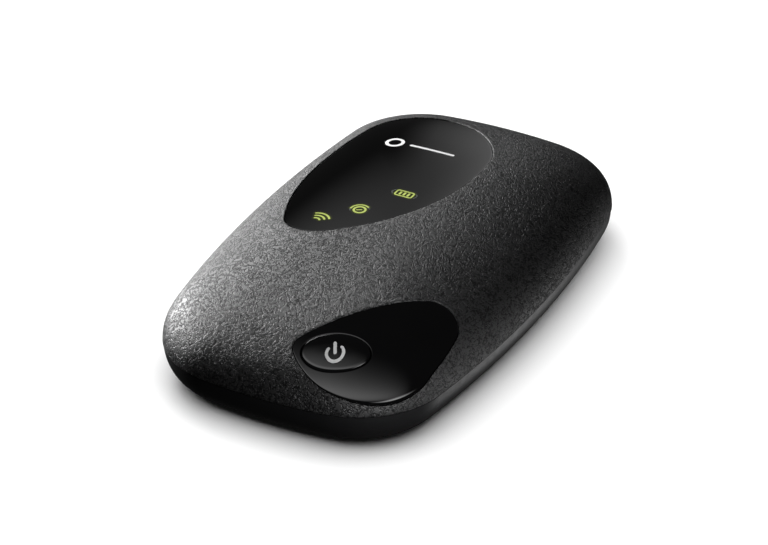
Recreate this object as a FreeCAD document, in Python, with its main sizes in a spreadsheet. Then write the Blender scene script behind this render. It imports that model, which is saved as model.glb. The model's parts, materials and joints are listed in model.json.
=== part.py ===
import FreeCAD, Part
import math
import os
import re

import Sketcher

# Pocket 4G hotspot, modelled as it comes apart on a bench. Millimetres.
# +X is the device's right side, +Y the end with the charging port, +Z up.
# The origin is on the flat underside, below the middle of the outline.

DIMENSIONS = {
    # Pebble outline: tangent side, end and corner arcs
    "half_width": 28.35,
    "half_length": 47.0,
    "side_radius": 222.0,
    "end_radius": 92.0,
    "corner_radius": 16.4,
    # Upper cover: a dome that falls from the crown to the parting line
    "body_height": 19.8,
    "parting_height": 7.4,
    "dome_reach_x": 26.0,
    "dome_reach_y": 38.0,
    "dome_power": 2.3,
    "cap_corner": 1.9,
    "cap_end_radius": 30.0,
    "side_easing": 0.4,
    "wall": 1.8,
    # Back cover
    "bottom_round": 7.2,
    "cover_wall": 1.3,
    "seam_step": 0.15,
    "seam_gap": 0.1,
    "rib_centre_y": 12.0,
    "rib_length": 4.0,
    "rib_inner_x": 25.4,
    "rib_outer_x": 27.0,
    "rib_low": 4.4,
    "rib_high": 6.9,
    "notch_centre_x": -26.7,
    "notch_centre_y": 27.0,
    "notch_depth": 1.5,
    "notch_length": 8.0,
    "notch_height": 0.8,
    # Glossy window over the indicators: three corner circles and three sides
    "tip_x": -10.3,
    "tip_y": -6.5,
    "tip_r": 6.5,
    "brow_x": -1.7,
    "brow_y": 21.5,
    "brow_r": 9.2,
    "crest_x": -7.7,
    "crest_y": 25.3,
    "crest_r": 11.4,
    "window_right_side": 36.8,
    "window_top_side": 21.6,
    "window_left_side": 51.2,
    # Glossy plate around the power key, made the same way
    "heel_x": 5.0,
    "heel_y": -39.8,
    "heel_r": 2.4,
    "belly_x": 14.7,
    "belly_y": -33.1,
    "belly_r": 10.1,
    "horn_x": 20.7,
    "horn_y": -23.7,
    "horn_r": 4.0,
    "plate_low_side": 12.8,
    "plate_right_side": 59.8,
    "plate_left_side": 132.7,
    # How both gloss parts sit in the cover
    "gloss_sink": 0.12,
    "gloss_thickness": 1.0,
    "gloss_gap": 0.1,
    "tape_thickness": 0.1,
    "tape_width": 1.6,
    "tape_inset": 0.2,
    # Power key
    "key_x": 10.2,
    "key_y": -39.1,
    "key_angle": 17.0,
    "key_major": 5.8,
    "key_minor": 3.4,
    "key_gap": 0.18,
    "key_proud": 0.1,
    "key_cap": 1.5,
    "key_flange_grow": 0.6,
    "key_flange_top": 2.5,
    "key_flange": 0.5,
    "key_stem_r": 1.6,
    "key_hole_clear": 0.1,
    "key_tape_clear": 0.4,
    "key_overlap": 0.2,
    # Middle frame
    "frame_base": 7.6,
    "frame_plate": 1.0,
    "frame_inset": 2.0,
    "skirt_low": 5.6,
    "skirt_wall": 0.9,
    "bay_wall": 0.8,
    "bay_gap": 0.3,
    "bay_low": 2.9,
    "slot_shift": 0.2,
    "slot_width": 2.2,
    "slot_extra": 1.0,
    "finger_width": 14.0,
    "finger_reach": 2.4,
    "finger_shift": 0.8,
    "reset_hole_r": 2.4,
    # Battery
    "battery_width": 40.0,
    "battery_length": 54.0,
    "battery_thickness": 5.7,
    "battery_base": 1.65,
    "battery_y": 8.0,
    "battery_round": 1.5,
    "label_thickness": 0.1,
    # Circuit board
    "board_base": 9.3,
    "board_thickness": 1.0,
    "board_inset": 3.0,
    "board_front": -42.0,
    # Screws
    "screw_corner_x": 18.6,
    "screw_front_y": -36.5,
    "screw_rear_y": 37.9,
    "screw_side_x": 23.9,
    "screw_side_y": 8.0,
    "screw_head_r": 1.4,
    "screw_head": 0.8,
    "screw_r": 0.7,
    "screw_length": 5.0,
    "screw_clear_r": 0.85,
    "boss_r": 2.1,
    "boss_step": 0.3,
    "boss_gap": 0.05,
    "screw_fit": 0.02,
    "screw_tip_room": 0.2,
    "drive_length": 1.6,
    "drive_width": 0.3,
    "drive_depth": 0.4,
    # Indicator lamps and their light path
    "lamp_wifi_x": -9.8,
    "lamp_wifi_y": -7.6,
    "lamp_net_x": -4.6,
    "lamp_net_y": -2.2,
    "lamp_battery_x": -0.3,
    "lamp_battery_y": 5.0,
    "guide_r": 1.1,
    "guide_clear": 0.15,
    "guide_web_base": 16.65,
    "guide_web": 0.7,
    "shield_r": 2.6,
    "lamp_length": 1.6,
    "lamp_width": 0.8,
    "lamp_height": 0.6,
    "lamp_gap": 0.2,
    "slot_gap": 0.25,
    "web_inset": 0.3,
    "shield_gap": 0.02,
    "web_gap": 0.07,
    # Shield cans, thermal pad and antennas
    "can_sheet": 0.2,
    "pad_gap": 0.02,
    "carrier_wall": 1.2,
    "carrier_room": 1.4,
    "carrier_drop": 0.6,
    "foil_inset": 0.6,
    "foil_drop": 0.45,
    "foil_thickness": 0.15,
    "foil_slot": 0.7,
    "foil_bridge": 3.6,
    "wifi_foot_width": 0.3,
    "wifi_foot_length": 2.0,
    "wifi_foot_height": 1.6,
    "wifi_arm_width": 1.6,
    "wifi_arm_length": 8.0,
    "wifi_arm_thickness": 0.3,
    "wifi_arm_shift": 3.0,
    # Charging port
    "port_width": 7.5,
    "port_depth": 5.3,
    "port_height": 2.6,
    "port_sheet": 0.3,
    "port_mouth_y": 43.6,
    "opening_width": 9.4,
    "opening_height": 3.6,
    "opening_reach": 12.0,
    "port_fit": 0.02,
    "tongue_root": 1.4,
    "tongue_root_shift": 1.1,
    "tongue_width": 3.9,
    "tongue_length": 3.8,
    "tongue_thickness": 0.6,
    "tongue_rise": 0.9,
    "tongue_middle": 2.6,
    "usb_contact_width": 0.3,
    "usb_contact_length": 2.4,
    "usb_contact_thickness": 0.12,
    "usb_contact_middle": 2.2,
    "usb_pitch": 0.65,
    # Subscriber card and its socket
    "card_length": 15.0,
    "card_width": 12.0,
    "card_thickness": 0.76,
    "card_x": 6.0,
    "card_y": -30.75,
    "card_base": 7.98,
    "card_corner": 2.4,
    "socket_length": 13.6,
    "socket_width": 13.2,
    "socket_sheet": 0.18,
    "socket_shift": 1.05,
    "socket_open": 0.2,
    "socket_base": 0.35,
    "socket_base_inset": 0.5,
    "socket_base_margin": 0.6,
    "socket_window_length": 7.0,
    "socket_window_width": 6.0,
    "socket_window_height": 2.0,
    "frame_window_x": -0.35,
    "frame_window_length": 29.9,
    "frame_window_margin": 0.2,
    "sim_pitch_x": 2.4,
    "sim_pitch_y": 3.2,
    "sim_contact_width": 1.1,
    "sim_contact_length": 2.2,
    "sim_pad_width": 1.86,
    "sim_pad_length": 2.46,
    "sim_pad_depth": 0.06,
    "sim_pad_thickness": 0.05,
    "sim_fit": 0.02,
    # Battery contact pads and connector
    "pad_width": 1.8,
    "pad_height": 2.8,
    "pad_bed": 0.3,
    "pad_thickness": 0.28,
    "blade_base": 3.45,
    "blade_tip_gap": 0.02,
    "plug_depth": 3.2,
    "plug_back": 0.4,
    "slot_depth": 2.2,
    "slot_setback": 0.9,
    "slot_clear": 0.15,
    "gate_shift": 1.8,
    "gate_depth": 4.2,
    "gate_clear": 0.6,
    "plug_x": 12.0,
    "plug_width": 10.0,
    "plug_pitch": 2.6,
    "blade_width": 1.0,
    "blade_height": 1.8,
    "blade_depth": 1.6,
    # Power switch below the key, reset switch below the board
    "switch_size": 3.6,
    "switch_height": 0.8,
    "switch_bore_r": 1.2,
    "switch_bore": 0.7,
    "plunger_r": 1.1,
    "plunger_height": 1.13,
    "plunger_seat": 0.35,
    "stem_gap": 0.02,
    "reset_x": -18.6,
    "reset_y": -27.0,
    "reset_size": 3.0,
    "reset_height": 1.2,
    "reset_bore_r": 0.7,
    "reset_bore": 0.7,
    "reset_plunger_r": 0.6,
    "reset_plunger_height": 0.7,
    "reset_proud": 0.3,
    # Labels
    "bay_label_length": 30.0,
    "bay_label_width": 36.0,
    "cell_edge_round": 0.6,
    "label_margin_x": 4.0,
    "label_margin_y": 5.0,
}

# Centre x, centre y, length, width and height of the parts on top of the board
BOARD_PARTS = {
    "modem_shield": (13.2, -3.0, 17.0, 26.0, 2.4),
    "radio_shield": (12.0, 20.0, 15.0, 16.0, 2.2),
    "wifi_shield": (-12.0, -21.5, 12.0, 11.0, 2.0),
    "modem_chip": (13.2, -8.5, 11.0, 11.0, 1.1),
    "memory_chip": (13.2, 4.0, 8.0, 8.0, 0.9),
    "thermal_pad": (13.2, -8.5, 9.0, 9.0, 1.05),
    "radio_chip": (12.0, 16.5, 6.0, 6.0, 0.9),
    "wifi_chip": (-12.0, -21.5, 6.0, 6.0, 0.9),
    "power_chip": (-14.0, 16.0, 5.0, 5.0, 0.9),
}
AMPLIFIER_SPOTS = [(8.5, 24.0), (15.5, 24.0)]
AMPLIFIER_SIZE = (3.0, 4.0, 1.0)
INDUCTOR_SPOTS = [(-19.5, 10.0), (-19.5, 14.0), (-19.5, 18.0)]
INDUCTOR_SIZE = (2.5, 2.0, 1.2)
MAIN_ANTENNA = (-11.0, 32.0, 12.0, 9.0)
DIVERSITY_ANTENNA = (-8.0, -36.0, 12.0, 8.0)
FOIL_SLOT_SHIFTS = ((-3.2, 1.4), (0.4, -1.4), (3.6, 1.4))
WIFI_ANTENNA_SPOTS = ((21.4, 24.5), (-21.4, -6.0))

doc = FreeCAD.newDocument("pocket_hotspot")
sheet = doc.addObject("Spreadsheet::Sheet", "Dims")
for row, (alias, number) in enumerate(DIMENSIONS.items(), start=1):
    sheet.set(f"A{row}", alias)
    sheet.set(f"B{row}", str(number))
    sheet.setAlias(f"B{row}", alias)
doc.recompute()

NEAR = 0.01
LEVEL_ANGLES = (0, 12, 25, 38, 50, 61, 71, 80, 86, 90)
CLEAR_HEIGHT = "body_height + 5"


# ---- expressions -------------------------------------------------------------


def ref(text):
    """Turns a formula in plain dimension names into one that reads the sheet."""
    def named(match):
        word = match.group(0)
        return f"Dims.{word}" if word in DIMENSIONS else word

    return re.sub(r"[a-z][a-z_]*", named, str(text))


def value(text):
    """The number that a formula gives now."""
    return float(sheet.evalExpression(ref(text)))


def bind(sketch, kind, *where, to):
    """Adds a dimension to a sketch and ties it to the sheet."""
    index = sketch.addConstraint(Sketcher.Constraint(kind, *where, value(to)))
    sketch.setExpression(f"Constraints[{index}]", ref(to))


def tie(thing, **formulas):
    """Ties properties of an object to the sheet."""
    for name, formula in formulas.items():
        thing.setExpression(name.replace("__", "."), ref(formula))


def place(thing, x="0", y="0", z="0"):
    tie(thing, Placement__Base__x=x, Placement__Base__y=y, Placement__Base__z=z)
    return thing


# ---- sketches ----------------------------------------------------------------


def sketch_at(body, name, height="0"):
    """An empty sketch on the body's own XY plane, raised to a height."""
    plane = next(item for item in body.Origin.OriginFeatures if item.Role == "XY_Plane")
    sketch = body.newObject("Sketcher::SketchObject", name)
    sketch.AttachmentSupport = [(plane, "")]
    sketch.MapMode = "FlatFace"
    sketch.setExpression("AttachmentOffset.Base.z", ref(height))
    return sketch


def arc_between(centre, radius, start, end):
    """Counter-clockwise arc of a circle from one angle to another."""
    while end < start:
        end += 2 * math.pi
    circle = Part.Circle(FreeCAD.Vector(*centre, 0), FreeCAD.Vector(0, 0, 1), radius)
    return Part.ArcOfCircle(circle, start, end)


def touching_centre(first, first_reach, second, second_reach):
    """The point at the two given distances from two points, on the left of first to second."""
    along = (second[0] - first[0], second[1] - first[1])
    span = math.hypot(*along)
    unit = (along[0] / span, along[1] / span)
    forward = (first_reach**2 - second_reach**2 + span**2) / (2 * span)
    sideways = math.sqrt(first_reach**2 - forward**2)
    return (
        first[0] + unit[0] * forward - unit[1] * sideways,
        first[1] + unit[1] * forward + unit[0] * sideways,
    )


def heading(start, end):
    return math.atan2(end[1] - start[1], end[0] - start[0])


def join_tangent(sketch, arcs):
    """Each arc meets the next one smoothly, and the last meets the first."""
    for arc, following in zip(arcs, arcs[1:] + arcs[:1]):
        sketch.addConstraint(Sketcher.Constraint("Tangent", arc, 2, following, 1))


def draw_pebble(sketch, half_width, half_length, side_radius, end_radius, corner_radius):
    """Closed outline of two side arcs, two end arcs and four corner arcs, all tangent."""
    formulas = (half_width, half_length, side_radius, end_radius, corner_radius)
    a, b, side, end, corner = map(value, formulas)
    side_centre = (a - side, 0.0)
    end_centre = (0.0, b - end)
    corner_centre = touching_centre(side_centre, side - corner, end_centre, end - corner)
    low = heading(side_centre, corner_centre)
    high = heading(end_centre, corner_centre)
    x, y = corner_centre
    turn = math.pi
    rows = [
        (side_centre, side, -low, low),
        ((x, y), corner, low, high),
        (end_centre, end, high, turn - high),
        ((-x, y), corner, turn - high, turn - low),
        ((side - a, 0.0), side, turn - low, turn + low),
        ((-x, -y), corner, turn + low, turn + high),
        ((0.0, end - b), end, turn + high, 2 * turn - high),
        ((x, -y), corner, -high, -low),
    ]
    arcs = [sketch.addGeometry(arc_between(*row)) for row in rows]
    join_tangent(sketch, arcs)
    right, back, left, front = arcs[0], arcs[2], arcs[4], arcs[6]
    for arc in (right, left):
        sketch.addConstraint(Sketcher.Constraint("PointOnObject", arc, 3, -1))
        bind(sketch, "Radius", arc, to=side_radius)
    for arc in (back, front):
        sketch.addConstraint(Sketcher.Constraint("PointOnObject", arc, 3, -2))
        bind(sketch, "Radius", arc, to=end_radius)
    for arc in arcs[1::2]:
        bind(sketch, "Radius", arc, to=corner_radius)
    across = f"({side_radius}) - ({half_width})"
    along = f"({end_radius}) - ({half_length})"
    bind(sketch, "DistanceX", right, 3, -1, 1, to=across)
    bind(sketch, "DistanceX", -1, 1, left, 3, to=across)
    bind(sketch, "DistanceY", back, 3, -1, 1, to=along)
    bind(sketch, "DistanceY", -1, 1, front, 3, to=along)


def draw_inset_pebble(sketch, inset):
    """The device's outline, moved inwards."""
    names = ("half_width", "half_length", "side_radius", "end_radius", "corner_radius")
    draw_pebble(sketch, *(f"{name} - ({inset})" for name in names))


def draw_three_corners(sketch, corners, sides, inset):
    """Rounded triangle: three corner circles, each pair joined by a side arc around both."""
    centres = [(value(x), value(y)) for x, y, _ in corners]
    radii = [value(f"{radius} - ({inset})") for _, _, radius in corners]
    reaches = [value(f"{side} - ({inset})") for side in sides]
    side_centres = [
        touching_centre(
            centres[i], reaches[i] - radii[i], centres[(i + 1) % 3], reaches[i] - radii[(i + 1) % 3]
        )
        for i in range(3)
    ]
    arcs = []
    for i in range(3):
        following = (i + 1) % 3
        leave = heading(side_centres[i], centres[i])
        arrive = heading(side_centres[i], centres[following])
        enter = heading(side_centres[i - 1], centres[i])
        arcs.append(sketch.addGeometry(arc_between(centres[i], radii[i], enter, leave)))
        arcs.append(sketch.addGeometry(arc_between(side_centres[i], reaches[i], leave, arrive)))
    join_tangent(sketch, arcs)
    for i, (x, y, radius) in enumerate(corners):
        bind(sketch, "DistanceX", -1, 1, arcs[2 * i], 3, to=x)
        bind(sketch, "DistanceY", -1, 1, arcs[2 * i], 3, to=y)
        bind(sketch, "Radius", arcs[2 * i], to=f"{radius} - ({inset})")
        bind(sketch, "Radius", arcs[2 * i + 1], to=f"{sides[i]} - ({inset})")


def draw_rectangle(sketch, x, y, length, width):
    """Rectangle with its sides along X and Y, centred on a point."""
    low_x, high_x = f"({x}) - ({length})/2", f"({x}) + ({length})/2"
    low_y, high_y = f"({y}) - ({width})/2", f"({y}) + ({width})/2"
    names = [(low_x, low_y), (high_x, low_y), (high_x, high_y), (low_x, high_y)]
    points = [FreeCAD.Vector(value(px), value(py), 0) for px, py in names]
    lines = []
    for i in range(4):
        lines.append(sketch.addGeometry(Part.LineSegment(points[i], points[(i + 1) % 4])))
    for i, line in enumerate(lines):
        sketch.addConstraint(Sketcher.Constraint("Coincident", line, 2, lines[(i + 1) % 4], 1))
        sketch.addConstraint(Sketcher.Constraint("Vertical" if i % 2 else "Horizontal", line))
    bind(sketch, "DistanceX", -1, 1, lines[0], 1, to=low_x)
    bind(sketch, "DistanceY", -1, 1, lines[0], 1, to=low_y)
    bind(sketch, "DistanceX", -1, 1, lines[2], 1, to=high_x)
    bind(sketch, "DistanceY", -1, 1, lines[2], 1, to=high_y)


def draw_circle(sketch, x, y, radius):
    circle = Part.Circle(FreeCAD.Vector(value(x), value(y), 0), FreeCAD.Vector(0, 0, 1), value(radius))
    index = sketch.addGeometry(circle)
    bind(sketch, "DistanceX", -1, 1, index, 3, to=x)
    bind(sketch, "DistanceY", -1, 1, index, 3, to=y)
    bind(sketch, "Radius", index, to=radius)


def draw_slot(sketch, start, end, radius):
    """Two half circles around two points, joined by straight sides."""
    first, second = [(value(x), value(y)) for x, y in (start, end)]
    reach = value(radius)
    tilt = heading(first, second)
    across = (-math.sin(tilt) * reach, math.cos(tilt) * reach)
    quarter = math.pi / 2

    def beside(point, sign):
        return FreeCAD.Vector(point[0] + sign * across[0], point[1] + sign * across[1], 0)

    pieces = [
        arc_between(second, reach, tilt - quarter, tilt + quarter),
        Part.LineSegment(beside(second, 1), beside(first, 1)),
        arc_between(first, reach, tilt + quarter, tilt + 3 * quarter),
        Part.LineSegment(beside(first, -1), beside(second, -1)),
    ]
    chain = [sketch.addGeometry(piece) for piece in pieces]
    join_tangent(sketch, chain)
    for arc, (x, y) in ((chain[0], end), (chain[2], start)):
        bind(sketch, "DistanceX", -1, 1, arc, 3, to=x)
        bind(sketch, "DistanceY", -1, 1, arc, 3, to=y)
        bind(sketch, "Radius", arc, to=radius)


# ---- features ----------------------------------------------------------------


def new_body(name):
    return doc.addObject("PartDesign::Body", name)


def pad(body, sketch, length):
    feature = body.newObject("PartDesign::Pad", f"{sketch.Name}_pad")
    feature.Profile = sketch
    feature.setExpression("Length", ref(length))
    doc.recompute()
    return feature


def pocket(body, sketch, length, up=False):
    """Removes material below the sketch, or above it, and makes sure that it did."""
    before = body.Shape.Volume
    feature = body.newObject("PartDesign::Pocket", f"{sketch.Name}_pocket")
    feature.Profile = sketch
    feature.Reversed = up
    feature.setExpression("Length", ref(length))
    doc.recompute()
    if body.Shape.Volume > before - 1e-6:
        raise RuntimeError(f"{feature.Name} removed nothing")
    return feature


def fillet_edges(body, feature, chosen, radius):
    """Rounds the edges of a feature that a test on their middle point picks."""
    names = []
    for number, edge in enumerate(feature.Shape.Edges, start=1):
        if chosen(edge.valueAt((edge.FirstParameter + edge.LastParameter) / 2)):
            names.append(f"Edge{number}")
    rounding = body.newObject("PartDesign::Fillet", f"{feature.Name}_round")
    rounding.Base = (feature, names)
    rounding.setExpression("Radius", ref(radius))
    doc.recompute()
    return rounding


def prism(name, draw, *arguments, base="0", height=CLEAR_HEIGHT):
    """A body that is one outline pulled straight up."""
    body = new_body(name)
    sketch = sketch_at(body, f"{name}_outline", base)
    draw(sketch, *arguments)
    pad(body, sketch, height)
    return body


def box(name, x, y, base, length, width, height):
    """A block centred on x and y, standing on a base height."""
    block = doc.addObject("Part::Box", name)
    tie(block, Length=length, Width=width, Height=height)
    return place(block, f"({x}) - ({length})/2", f"({y}) - ({width})/2", base)


def cylinder(name, x, y, base, radius, height):
    rod = doc.addObject("Part::Cylinder", name)
    tie(rod, Radius=radius, Height=height)
    return place(rod, x, y, base)


def moved(name, source, x="0", y="0", z="0"):
    """A copy of a piece in another place."""
    copy = doc.addObject("Part::Compound", name)
    copy.Links = [source]
    return place(copy, x, y, z)


def group(name, pieces):
    """Separate solids that share one node."""
    compound = doc.addObject("Part::Compound", name)
    compound.Links = pieces
    return compound


def fuse(name, *pieces):
    union = doc.addObject("Part::MultiFuse", name)
    union.Shapes = list(pieces)
    return union


def common(name, *pieces):
    overlap = doc.addObject("Part::MultiCommon", name)
    overlap.Shapes = list(pieces)
    return overlap


def cut(name, base, *tools):
    """Takes one or more tools away from a base."""
    difference = doc.addObject("Part::Cut", name)
    difference.Base = base
    difference.Tool = tools[0] if len(tools) == 1 else group(f"{name}_tools", list(tools))
    return difference


# ---- the domed volume --------------------------------------------------------


def dome(name, wall):
    """The space under the upper cover's skin, or with a wall, the space under its inner face."""
    body = new_body(name)
    sections = []
    for number, angle in enumerate(LEVEL_ANGLES):
        spread = f"cos({angle} deg)^(2/dome_power)"
        rise = f"sin({angle} deg)^(2/dome_power)"
        height = f"parting_height + (body_height - {wall} - parting_height)*{rise}"
        section = sketch_at(body, f"{name}_level_{number}", height)
        draw_pebble(
            section,
            f"half_width - {wall} - (dome_reach_x - {wall})*(1 - {spread})",
            f"half_length - {wall} - (dome_reach_y - {wall})*(1 - {spread})",
            f"side_radius*(1 - side_easing*(1 - {spread}))",
            f"end_radius*{spread} + cap_end_radius*(1 - {spread})",
            f"(corner_radius - {wall})*{spread} + cap_corner*(1 - {spread})",
        )
        sections.append(section)
    loft = body.newObject("PartDesign::AdditiveLoft", f"{name}_loft")
    loft.Profile = sections[0]
    loft.Sections = sections[1:]
    doc.recompute()
    return body


outer_dome = dome("outer_dome", "0")
inner_dome = dome("inner_dome", "wall")


def sunk_dome(name, depth, source=outer_dome):
    """The dome moved straight down, so that thin parts can follow the cover's surface."""
    return moved(name, source, z=f"-({depth})")


def layer(name, outline, top, thickness, source=outer_dome):
    """The part of an upright outline between two depths below the dome."""
    slab = common(f"{name}_slab", outline, sunk_dome(f"{name}_top", top, source))
    return cut(name, slab, sunk_dome(f"{name}_floor", f"{top} + {thickness}", source))




def corner_names(*names):
    return [(f"{name}_x", f"{name}_y", f"{name}_r") for name in names]


WINDOW_CORNERS = corner_names("tip", "brow", "crest")
WINDOW_SIDES = ["window_right_side", "window_top_side", "window_left_side"]
PLATE_CORNERS = corner_names("heel", "belly", "horn")
PLATE_SIDES = ["plate_low_side", "plate_right_side", "plate_left_side"]
SCREW_SPOTS = [
    ("screw_corner_x", "screw_front_y"),
    ("-screw_corner_x", "screw_front_y"),
    ("screw_corner_x", "screw_rear_y"),
    ("-screw_corner_x", "screw_rear_y"),
    ("screw_side_x", "screw_side_y"),
    ("-screw_side_x", "screw_side_y"),
]
LAMP_SPOTS = [
    ("lamp_wifi_x", "lamp_wifi_y"),
    ("lamp_net_x", "lamp_net_y"),
    ("lamp_battery_x", "lamp_battery_y"),
]
BOARD_TOP = "board_base + board_thickness"
FRAME_TOP = "frame_base + frame_plate"
BATTERY_FRONT = "battery_y - battery_length/2"
PLUNGER_BASE = f"{BOARD_TOP} + switch_height - plunger_seat"
TAPE_TOP = "gloss_sink + gloss_thickness"
RECESS_DEPTH = "gloss_sink + gloss_thickness + tape_thickness"


def oval(name, grow="0"):
    """Upright prism with the power key's oval outline."""
    ring = doc.addObject("Part::Ellipse", f"{name}_edge")
    tie(ring, MajorRadius=f"key_major + {grow}", MinorRadius=f"key_minor + {grow}")
    ring.setExpression("Placement.Rotation.Angle", ref("key_angle"))
    place(ring, "key_x", "key_y")
    pulled = doc.addObject("Part::Extrusion", name)
    pulled.Base = ring
    pulled.Dir = FreeCAD.Vector(0, 0, 1)
    pulled.DirMode = "Custom"
    pulled.setExpression("LengthFwd", ref(CLEAR_HEIGHT))
    pulled.Solid = True
    return pulled


# ---- covers and gloss parts --------------------------------------------------


def recess(name, corners, sides):
    """Pocket for a gloss part: its outline, from the surface down to the recess floor."""
    outline = prism(f"{name}_outline", draw_three_corners, corners, sides, "0")
    return cut(name, outline, sunk_dome(f"{name}_bed", RECESS_DEPTH))


def port_opening():
    """Mouth in the end wall for the charging plug, rounded at both sides."""
    half = "(opening_height/2)"
    middle = f"{BOARD_TOP} + port_height/2"
    reach = "(opening_width/2 - opening_height/2)"
    size = (f"2*{reach}", "opening_reach", "opening_height")
    slab = box("opening_middle", "0", "half_length", f"{middle} - {half}", *size)
    ends = []
    for side, sign in (("left", "-"), ("right", "")):
        end = doc.addObject("Part::Cylinder", f"opening_{side}")
        tie(end, Radius=half, Height="opening_reach")
        end.Placement.Rotation = FreeCAD.Rotation(FreeCAD.Vector(1, 0, 0), 90)
        ends.append(place(end, f"{sign}{reach}", "half_length + opening_reach/2", middle))
    return fuse("port_opening", slab, *ends)


def upper_cover():
    """Domed top shell with two gloss recesses, light slot, key hole, port mouth and screw bosses."""
    shell = cut("upper_shell", outer_dome, inner_dome)
    posts = []
    holes = []
    for number, (x, y) in enumerate(SCREW_SPOTS):
        foot = f"{BOARD_TOP} + boss_gap"
        hole = ("frame_base", "screw_r + screw_fit", "screw_length + screw_tip_room")
        posts.append(cylinder(f"boss_post_{number}", x, y, foot, "boss_r", "body_height"))
        holes.append(cylinder(f"boss_hole_{number}", x, y, *hole))
    bosses = common("cover_bosses", fuse("boss_posts", *posts), sunk_dome("boss_limit", "wall/2"))
    blank = fuse("upper_blank", shell, bosses)
    light_slot = prism("light_slot", draw_slot, LAMP_SPOTS[0], LAMP_SPOTS[2], "shield_r + slot_gap")
    tools = [
        recess("window_recess", WINDOW_CORNERS, WINDOW_SIDES),
        recess("plate_recess", PLATE_CORNERS, PLATE_SIDES),
        light_slot,
        oval("key_hole", "key_gap + key_hole_clear"),
        port_opening(),
    ]
    return cut("upper_cover", blank, fuse("upper_cover_openings", *tools, *holes))


def gloss_part(name, corners, sides, *holes):
    """A gloss insert that follows the dome, just below the surface."""
    outline = prism(f"{name}_outline", draw_three_corners, corners, sides, "gloss_gap")
    if holes:
        outline = cut(f"{name}_pierced", outline, *holes)
    return layer(name, outline, "gloss_sink", "gloss_thickness")


def tape_ring(name, corners, sides, *holes):
    """Adhesive tape: a band around the edge, under a gloss part."""
    edge = "gloss_gap + tape_inset"
    outline = prism(f"{name}_outline", draw_three_corners, corners, sides, edge)
    middle = prism(f"{name}_middle", draw_three_corners, corners, sides, f"{edge} + tape_width")
    band = cut(f"{name}_band", outline, middle, *holes)
    return layer(name, band, TAPE_TOP, "tape_thickness")


def power_key():
    """Oval key: cap that follows the dome, wider flange below it, and a stem above the switch."""
    depth = "key_proud + key_flange_top + key_overlap"
    cap = layer("key_cap_body", oval("key_cap_oval"), "-key_proud", depth)
    wide = oval("key_flange_oval", "key_flange_grow")
    flange = layer("key_flange_body", wide, "key_flange_top", "key_flange")
    stem_low = f"{PLUNGER_BASE} + plunger_height + stem_gap"
    stem = common(
        "key_stem",
        cylinder("key_stem_rod", "key_x", "key_y", stem_low, "key_stem_r", "body_height"),
        sunk_dome("key_stem_limit", "key_cap"),
    )
    return fuse("power_key", cap, flange, stem)


def bowl(name, inset, floor, height, rounding):
    """A pebble-shaped block with its lower edge rounded."""
    body = new_body(name)
    outline = sketch_at(body, f"{name}_outline", floor)
    draw_inset_pebble(outline, inset)
    block = pad(body, outline, height)
    bottom = value(floor) + 0.01
    fillet_edges(body, block, lambda point: point.z < bottom, rounding)
    return body


def back_cover():
    """Removable underside: a bowl with rounded edges, guide ribs and a pry notch."""
    outside = bowl("back_outside", "seam_step", "0", "parting_height - seam_gap", "bottom_round")
    inside = bowl(
        "back_inside",
        "seam_step + cover_wall",
        "cover_wall",
        "parting_height",
        "bottom_round - cover_wall",
    )
    shell = cut("back_shell", outside, inside)
    ribs = []
    for number, (side, end) in enumerate((("", ""), ("-", ""), ("", "-"), ("-", "-"))):
        middle = f"{side}(rib_inner_x + rib_outer_x)/2"
        size = ("rib_outer_x - rib_inner_x", "rib_length", "rib_high - rib_low")
        ribs.append(box(f"back_rib_{number}", middle, f"{end}rib_centre_y", "rib_low", *size))
    notch = box(
        "back_notch",
        "notch_centre_x",
        "notch_centre_y",
        "parting_height - seam_gap - notch_height",
        "notch_depth",
        "notch_length",
        "wall",
    )
    return cut("back_cover", fuse("back_ribbed", shell, *ribs), notch)


# ---- middle frame and board --------------------------------------------------


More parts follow.
